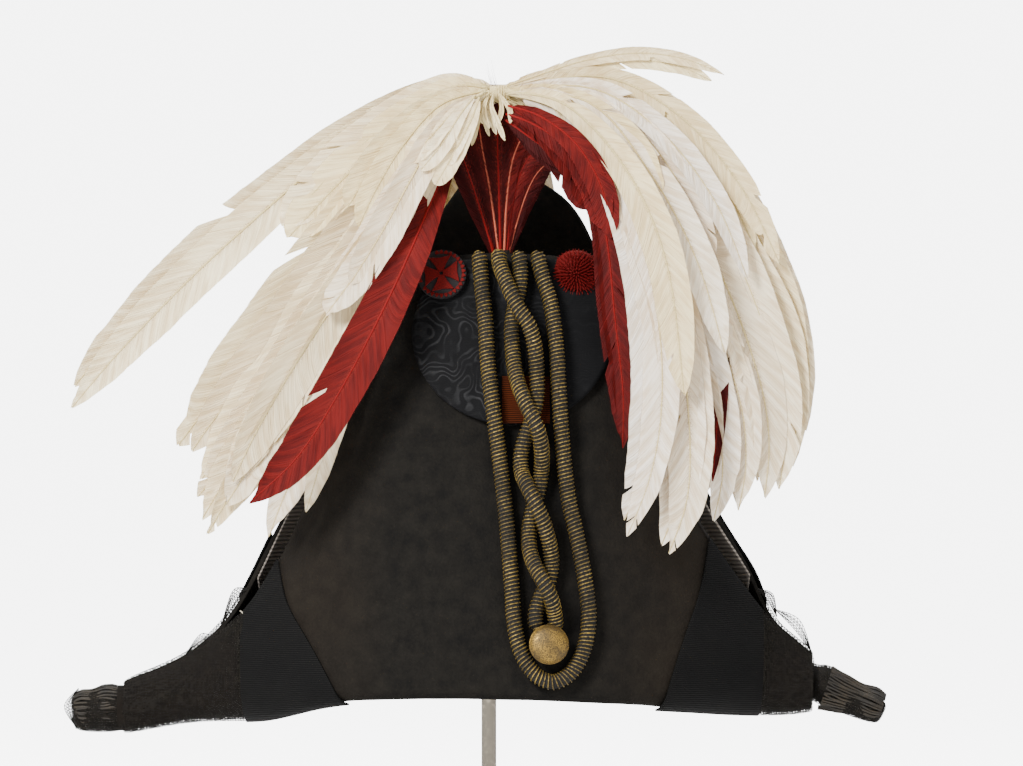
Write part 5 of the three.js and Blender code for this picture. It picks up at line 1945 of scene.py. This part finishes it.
RIGHT_ROWS = (
    FeatherRow(((500, 92), (538, 80), (585, 66), (635, 60), (680, 66), (718, 82)),
               (12, 13, 13), 9, 2, 3, 0.1),
    FeatherRow(((504, 92), (580, 85), (660, 120), (722, 206), (770, 292), (797, 350), (804, 390)),
               (5, 6, 6), 20, 1, 3, 0.3),
    FeatherRow(((502, 92), (545, 80), (600, 84), (655, 107), (700, 152), (740, 217), (775, 292),
                (792, 362), (797, 430)),
               (8, 8, 8), 24, 2, 4, 0.3),
    FeatherRow(((502, 92), (560, 87), (625, 102), (690, 162), (736, 242), (778, 320), (795, 400), (793, 462)),
               (10, 10, 10), 23, 2, 4, 0.4),
    FeatherRow(((504, 93), (565, 92), (630, 120), (690, 190), (738, 275), (772, 370), (782, 430), (777, 485)),
               (12, 13, 14), 25, 2, 4, 0.5),
    FeatherRow(((504, 94), (560, 98), (620, 130), (675, 200), (722, 290), (754, 380), (764, 440), (760, 494)),
               (14, 16, 17), 25, 2, 4, 0.6),
    FeatherRow(((505, 95), (556, 104), (612, 145), (662, 220), (704, 310), (735, 400), (742, 460),
                (736, 506)),
               (15, 18, 20), 25, 2, 4, 0.7),
    FeatherRow(((505, 96), (553, 110), (605, 160), (650, 235), (684, 320), (708, 410), (714, 470),
                (704, 518)),
               (17, 21, 25), 23, 2, 4, 0.8),
    FeatherRow(((506, 98), (556, 113), (608, 166), (646, 245), (670, 330), (680, 420), (677, 495),
                (657, 550)),
               (18, 28, 42), 26, 2, 4, 0.9),
    FeatherRow(((508, 98), (560, 116), (606, 168), (637, 245), (653, 330), (654, 410), (642, 475),
                (619, 532)),
               (19, 32, 48), 25, 2, 3, 1.0),
    FeatherRow(((505, 94), (560, 98), (612, 128), (642, 163), (657, 202)), (15, 22, 26), 20, 1, 4, 0.0, 0.1),
    FeatherRow(((505, 93), (590, 96), (652, 142), (698, 210), (724, 286)), (14, 22, 26), 18, 2, 7, 0.9),
    FeatherRow(((506, 96), (566, 110), (626, 178), (662, 270), (676, 396)),
               (19, 32, 45), 20, 1, 4, 0.0, 0.05),
    FeatherRow(((505, 92), (600, 84), (672, 124), (730, 192), (770, 270)), (11, 16, 18), 18, 2, 7, 0.0, 0.1),
    FeatherRow(((506, 95), (590, 108), (650, 180), (694, 262), (722, 352)), (16, 27, 34), 20, 1, 4, 0.9),
    FeatherRow(((508, 98), (528, 101), (548, 112), (562, 130)), (20, 22, 23), 3.8, 4, 2.6, 0.2),
    FeatherRow(((506, 100), (560, 128), (590, 190), (602, 240), (606, 272)), (6, 6, 8), 12, 1, 2, 0.0),
)
RED_ROWS = (
    FeatherRow(((486, 112), (455, 150), (432, 205), (408, 262), (378, 325), (340, 395), (300, 456),
                (254, 499)),
               (8, 40, 46), 30, 1, 3, 0.3),
    FeatherRow(((508, 112), (540, 130), (572, 160), (596, 198), (606, 250), (613, 320), (621, 390),
                (621, 446)),
               (20, 22, 30), 16, 2, 1.5, 0.4),
    FeatherRow(((508, 110), (540, 122), (574, 150), (598, 192), (608, 240)), (24, 30, 26), 17, 2, 3, 0.1),
    FeatherRow(((506, 118), (530, 130), (556, 150), (581, 178), (597, 212)), (22, 28, 24), 16, 3, 4, 0.3),
    FeatherRow(((506, 124), (526, 140), (546, 156), (568, 168), (585, 188)),
               (20, 25, 22), 14, 2, 3, 0.9, 0.4),
    FeatherRow(((520, 104), (580, 112), (632, 155), (676, 235), (706, 305), (711, 395), (704, 480)),
               (1, 5, 30), 13, 1, 3, 0.9),
)
SPRAY_ROWS = (
    FeatherRow(((496, 262), (480, 205), (464, 158), (452, 136)), (0, 3, 2), 24, 2, 3, 0.9, 0.3),
    FeatherRow(((500, 262), (491, 195), (484, 150), (482, 118)), (1, 4, 2), 22, 2, 3, 0.6, 0.1),
    FeatherRow(((501, 262), (500, 185), (500, 135), (505, 102)), (2, 5, 2), 24, 2, 3, 0.2, 0.5),
    FeatherRow(((504, 262), (508, 200), (518, 155), (540, 118)), (1, 4, 2), 22, 2, 3, 0.1, 0.1),
    FeatherRow(((506, 262), (515, 205), (530, 165), (552, 148)), (0, 3, 4), 20, 2, 3, 0.1, 0.2),
    FeatherRow(((507, 262), (520, 212), (534, 178), (552, 160)), (-1, 1, 3), 16, 2, 3, 0.9, 0.5),
)
BACK_ROWS = (
    FeatherRow(((500, 104), (446, 104), (400, 190), (366, 330), (351, 430)), (2, -86, -100), 34, 2, 8, 0.3),
    FeatherRow(((501, 102), (470, 98), (446, 190), (430, 320), (421, 470)), (2, -94, -113), 32, 2, 7, 0.4),
    FeatherRow(((503, 102), (503, 99), (505, 200), (508, 330), (512, 444)), (2, -88, -108), 32, 2, 6, 0.5),
    FeatherRow(((504, 102), (520, 98), (530, 200), (552, 320), (572, 462)), (2, -96, -114), 30, 2, 6, 0.4),
    FeatherRow(((506, 104), (560, 94), (646, 186), (676, 320), (682, 430)), (2, -86, -100), 32, 2, 7, 0.3),
)


@dataclass
class Plume:
    """The feathers: white ones to both sides and behind, red ones and the red spray."""

    wardrobe: Wardrobe
    head: tuple[float, float, float] = (7.6, -44.0, 441.0)
    head_half: float = 7 * MM
    head_radius: float = 4.3 * MM
    thread_points: int = 150
    points_per_turn: int = 15
    fibres: int = 46
    stem_radius: float = 3.6 * MM
    stem_foot: float = 271.0
    stem_top: float = 358.0

    def build(self) -> None:
        """Build and dress every group of feathers."""
        groups = (("plume_left", LEFT_ROWS, 3), ("plume_right", RIGHT_ROWS, 5), ("plume_back", BACK_ROWS, 9))
        for node, rows, seed in groups:
            bed = FeatherBed(random.Random(seed))
            for row in rows:
                self.add_row(bed, row, VaneStyle.BROAD)
            piece = bed.make(node + "_feathers", self.wardrobe.white, self.wardrobe.quill)
            finish_piece(piece, "white_feather", node)
        self.build_red()
        self.build_spray()
        self.build_binding()

    def add_row(self, bed: FeatherBed, row: FeatherRow, style: VaneStyle) -> None:
        """Add a row's feathers to a bed.

        Args:
            bed: The mesh that grows.
            row: The row.
            style: How the barbs hold together.
        """
        chance = bed.chance
        for number in range(row.count):
            aside = (number - (row.count - 1) / 2) * row.spread + chance.uniform(-0.2, 0.2) * row.spread
            deeper = -2.2 * number
            stray = chance.uniform(-1.0, 1.0) * row.spread * 0.9
            last = len(row.route) - 1
            points = []
            for index, (px, py) in enumerate(row.route):
                share = index / last
                first, middle, end = row.forward
                ahead = middle + (end - middle) * (share * 2 - 1)
                if share < 0.5:
                    ahead = first + (middle - first) * share * 2
                point = seen_at(px, py, ahead + deeper * min(1.0, share * 3))
                before, after = row.route[max(index - 1, 0)], row.route[min(index + 1, last)]
                run = Vector((after[0] - before[0], 0.0, before[1] - after[1])).normalized()
                point += Vector((run.z, 0.0, -run.x)) * aside * MM * min(1.0, share * 1.6)
                points.append(point)
            if number:
                points[-1] = points[-2].lerp(points[-1], chance.uniform(0.45, 0.95))
            for index in range(1, last + 1):
                points[index] += Vector((1.0, 0.0, 0.3)) * stray * MM * (index / last) ** 2
            roll = math.radians(chance.uniform(-24, 24))
            cup = chance.uniform(0.1, 0.34)
            light = min(1.0, max(0.0, row.tone + chance.uniform(-0.2, 0.2)))
            # The second share darkens the feather as painted shade between layers, by the row's share and a
            # random amount.
            tone = (light, row.lower + chance.uniform(0.0, 0.22))
            bed.add_feather(points, row.width * MM * chance.uniform(0.84, 1.12), roll, cup, style, tone)

    def build_red(self) -> None:
        """Build the red feathers of the plume."""
        bed = FeatherBed(random.Random(13))
        for row in RED_ROWS:
            self.add_row(bed, row, VaneStyle.BROAD)
        for row in SPRAY_ROWS:
            slim = replace(row, width=row.width * 0.62, count=3, lower=row.lower * 0.5, forward=(-1, 0, -1))
            self.add_row(bed, slim, VaneStyle.BROAD)
        piece = bed.make("plume_red_feathers", self.wardrobe.scarlet, self.wardrobe.red_quill)
        finish_piece(piece, "red_feather", "plume_red")

    def build_spray(self) -> None:
        """Build the thin quills with loose red barbs that rise from the stem."""
        groups = (("plume_red_spray", SPRAY_ROWS[::2], 2, self.wardrobe.red_quill),
                  ("plume_red_quills", SPRAY_ROWS[1::2], 1, self.wardrobe.pink_quill))
        for name, rows, count, quill in groups:
            bed = FeatherBed(random.Random(21 + len(name)))
            for row in rows:
                self.add_row(bed, replace(row, count=count), VaneStyle.LOOSE)
            finish_piece(bed.make(name, self.wardrobe.scarlet, quill), "red_feather", "plume_red")

    def build_binding(self) -> None:
        """Wind thread round the feathers' roots, and let some root fibres stand out."""
        chance = random.Random(29)
        centre = Vector(self.head) * MM
        last = self.thread_points - 1
        turns = []
        for index in range(self.thread_points):
            turn = index * 2 * math.pi / self.points_per_turn
            reach = 4.6 * MM * math.sin(math.pi * (0.12 + 0.76 * index / last)) ** 0.5
            spot = Vector(((index / last - 0.5) * 13 * MM, math.cos(turn) * reach, math.sin(turn) * reach))
            turns.append(centre + spot)
        fibres = []
        for _ in range(self.fibres):
            reach = chance.uniform(8, 20) * MM
            turn = math.radians(chance.uniform(-42, 8))
            aside = [chance.uniform(low, high) for low, high in ((-5, 4), (-5, 1), (-4, 4))]
            start = centre + Vector(aside) * MM
            end = start + Vector((math.cos(turn), chance.uniform(-0.25, 0.1), math.sin(turn))) * reach
            middle = start.lerp(end, 0.5) + Vector((0, 0, chance.uniform(0, 2.5) * MM))
            fibres.append(smooth_route([start, middle, end], 8))
        half = Vector((self.head_half, 0, 0))
        core = wire_piece("plume_root", [[centre - half, centre + half]], self.head_radius, 4)
        thread = wire_piece("plume_thread", [turns], 0.5 * MM, 1)
        wisps = wire_piece("plume_wisps", fibres, 0.22 * MM)
        for part in (core, thread, wisps):
            dress(part, self.wardrobe.quill)
        piece = join_pieces(core, thread, wisps)
        piece.name = "plume_binding"
        finish_piece(piece, "white_feather", "plume_left")
        across = self.head[0]
        foot = Vector((across, STEM_Y, self.stem_foot)) * MM
        top = Vector((across, STEM_Y, self.stem_top)) * MM
        stem = wire_piece("plume_stem", [[foot, top]], self.stem_radius, 4)
        dress(stem, self.wardrobe.binding)
        finish_piece(stem, "red_feather", "plume_red")


# Stand and studio


@dataclass
class Stand:
    """The plain steel post with its pad, and the base plate."""

    wardrobe: Wardrobe

    def build(self) -> None:
        """Round the edges of post and plate, and dress them."""
        for node in ("stand_post", "stand_base"):
            piece = free_copy(node, node + "_steel")
            rounding = piece.modifiers.new("rounding", "BEVEL")
            rounding.width = 0.8 * MM
            rounding.segments = 3
            rounding.limit_method = "ANGLE"
            rounding.angle_limit = math.radians(40)
            apply_all(piece)
            bpy.ops.object.shade_smooth_by_angle(angle=math.radians(30))
            dress(piece, self.wardrobe.steel)
            finish_piece(piece, "steel", node)


@dataclass
class Studio:
    """Camera, soft lights, pale floor paper and world."""

    wardrobe: Wardrobe
    centre: tuple[float, float] = (0.0122, 0.287)
    distance: float = 3.4
    view_width: float = GRID_WIDTH * GRID_STEP * MM
    sensor: float = 36.0
    lamps: tuple[tuple[str, tuple[float, float, float], float, float], ...] = (
        ("key", (-0.9, -1.5, 1.3), 0.55, 92.0), ("fill", (1.3, -1.4, 0.7), 1.0, 10.0),
        ("top", (0.1, 0.3, 1.7), 0.9, 34.0))
    lamp_aim: tuple[float, float, float] = (0.0, 0.0, 0.28)
    paper_radius: float = 9.0
    paper_rim: float = 0.3
    paper_drop: float = 0.05
    world_light: float = 0.7
    world_seen: float = 6.35

    def build(self) -> None:
        """Set up everything round the object."""
        self.build_camera()
        self.build_lights()
        self.build_paper()
        self.build_world()

    def build_camera(self) -> None:
        """Place the level camera straight in front."""
        data = bpy.data.cameras.new("photo_camera")
        data.sensor_width = self.sensor
        data.lens = self.sensor * self.distance / self.view_width
        camera = add_object("photo_camera", data)
        camera.location = (self.centre[0], -self.distance, self.centre[1])
        camera.rotation_euler = (math.radians(90), 0.0, 0.0)
        bpy.context.scene.camera = camera

    def build_lights(self) -> None:
        """Hang three large soft lights."""
        for name, place, size, power in self.lamps:
            data = bpy.data.lights.new(name + "_light", "AREA")
            data.shape = "SQUARE"
            data.size = size
            data.energy = power
            lamp = add_object(name + "_light", data)
            lamp.location = place
            aim = Vector(self.lamp_aim) - Vector(place)
            lamp.rotation_euler = aim.to_track_quat("-Z", "Y").to_euler()

    def build_paper(self) -> None:
        """Lay a wide round sheet of pale paper on the floor, with a turned-down rim."""
        bpy.ops.mesh.primitive_circle_add(vertices=128, radius=self.paper_radius, fill_type="NGON")
        paper = fresh_shape("studio_paper")
        with editing(paper):
            bpy.ops.mesh.inset(thickness=self.paper_rim)
        for vertex in paper.data.vertices:
            if math.hypot(vertex.co.x, vertex.co.y) > self.paper_radius - 0.1:
                vertex.co.z -= self.paper_drop
        dress(paper, self.wardrobe.paper)

    def build_world(self) -> None:
        """Give an even soft light all round, and a pale ground behind the object."""
        world = bpy.data.worlds.new("studio_world")
        world.use_nodes = True
        board = Board(world.node_tree)
        path = board.add("ShaderNodeLightPath")
        ground = world.node_tree.nodes["Background"]
        ground.inputs["Color"].default_value = (1.0, 1.0, 1.0, 1.0)
        strength = board.span(path.outputs["Is Camera Ray"], 0.0, 1.0, self.world_light, self.world_seen)
        board.feed(ground.inputs["Strength"], strength)
        bpy.context.scene.world = world


def main() -> None:
    """Build the studio and every piece of the hat and its stand, in order."""
    wardrobe = Wardrobe()
    kinds = (Studio, Stand, FeltBody, Ribbons, Cockade, Rosettes, LoopRopes, Button, Tassels, Plume, NetVeil)
    for kind in kinds:
        kind(wardrobe).build()
        log.info("built %s", kind.__name__)


if __name__ == "__main__":
    main()
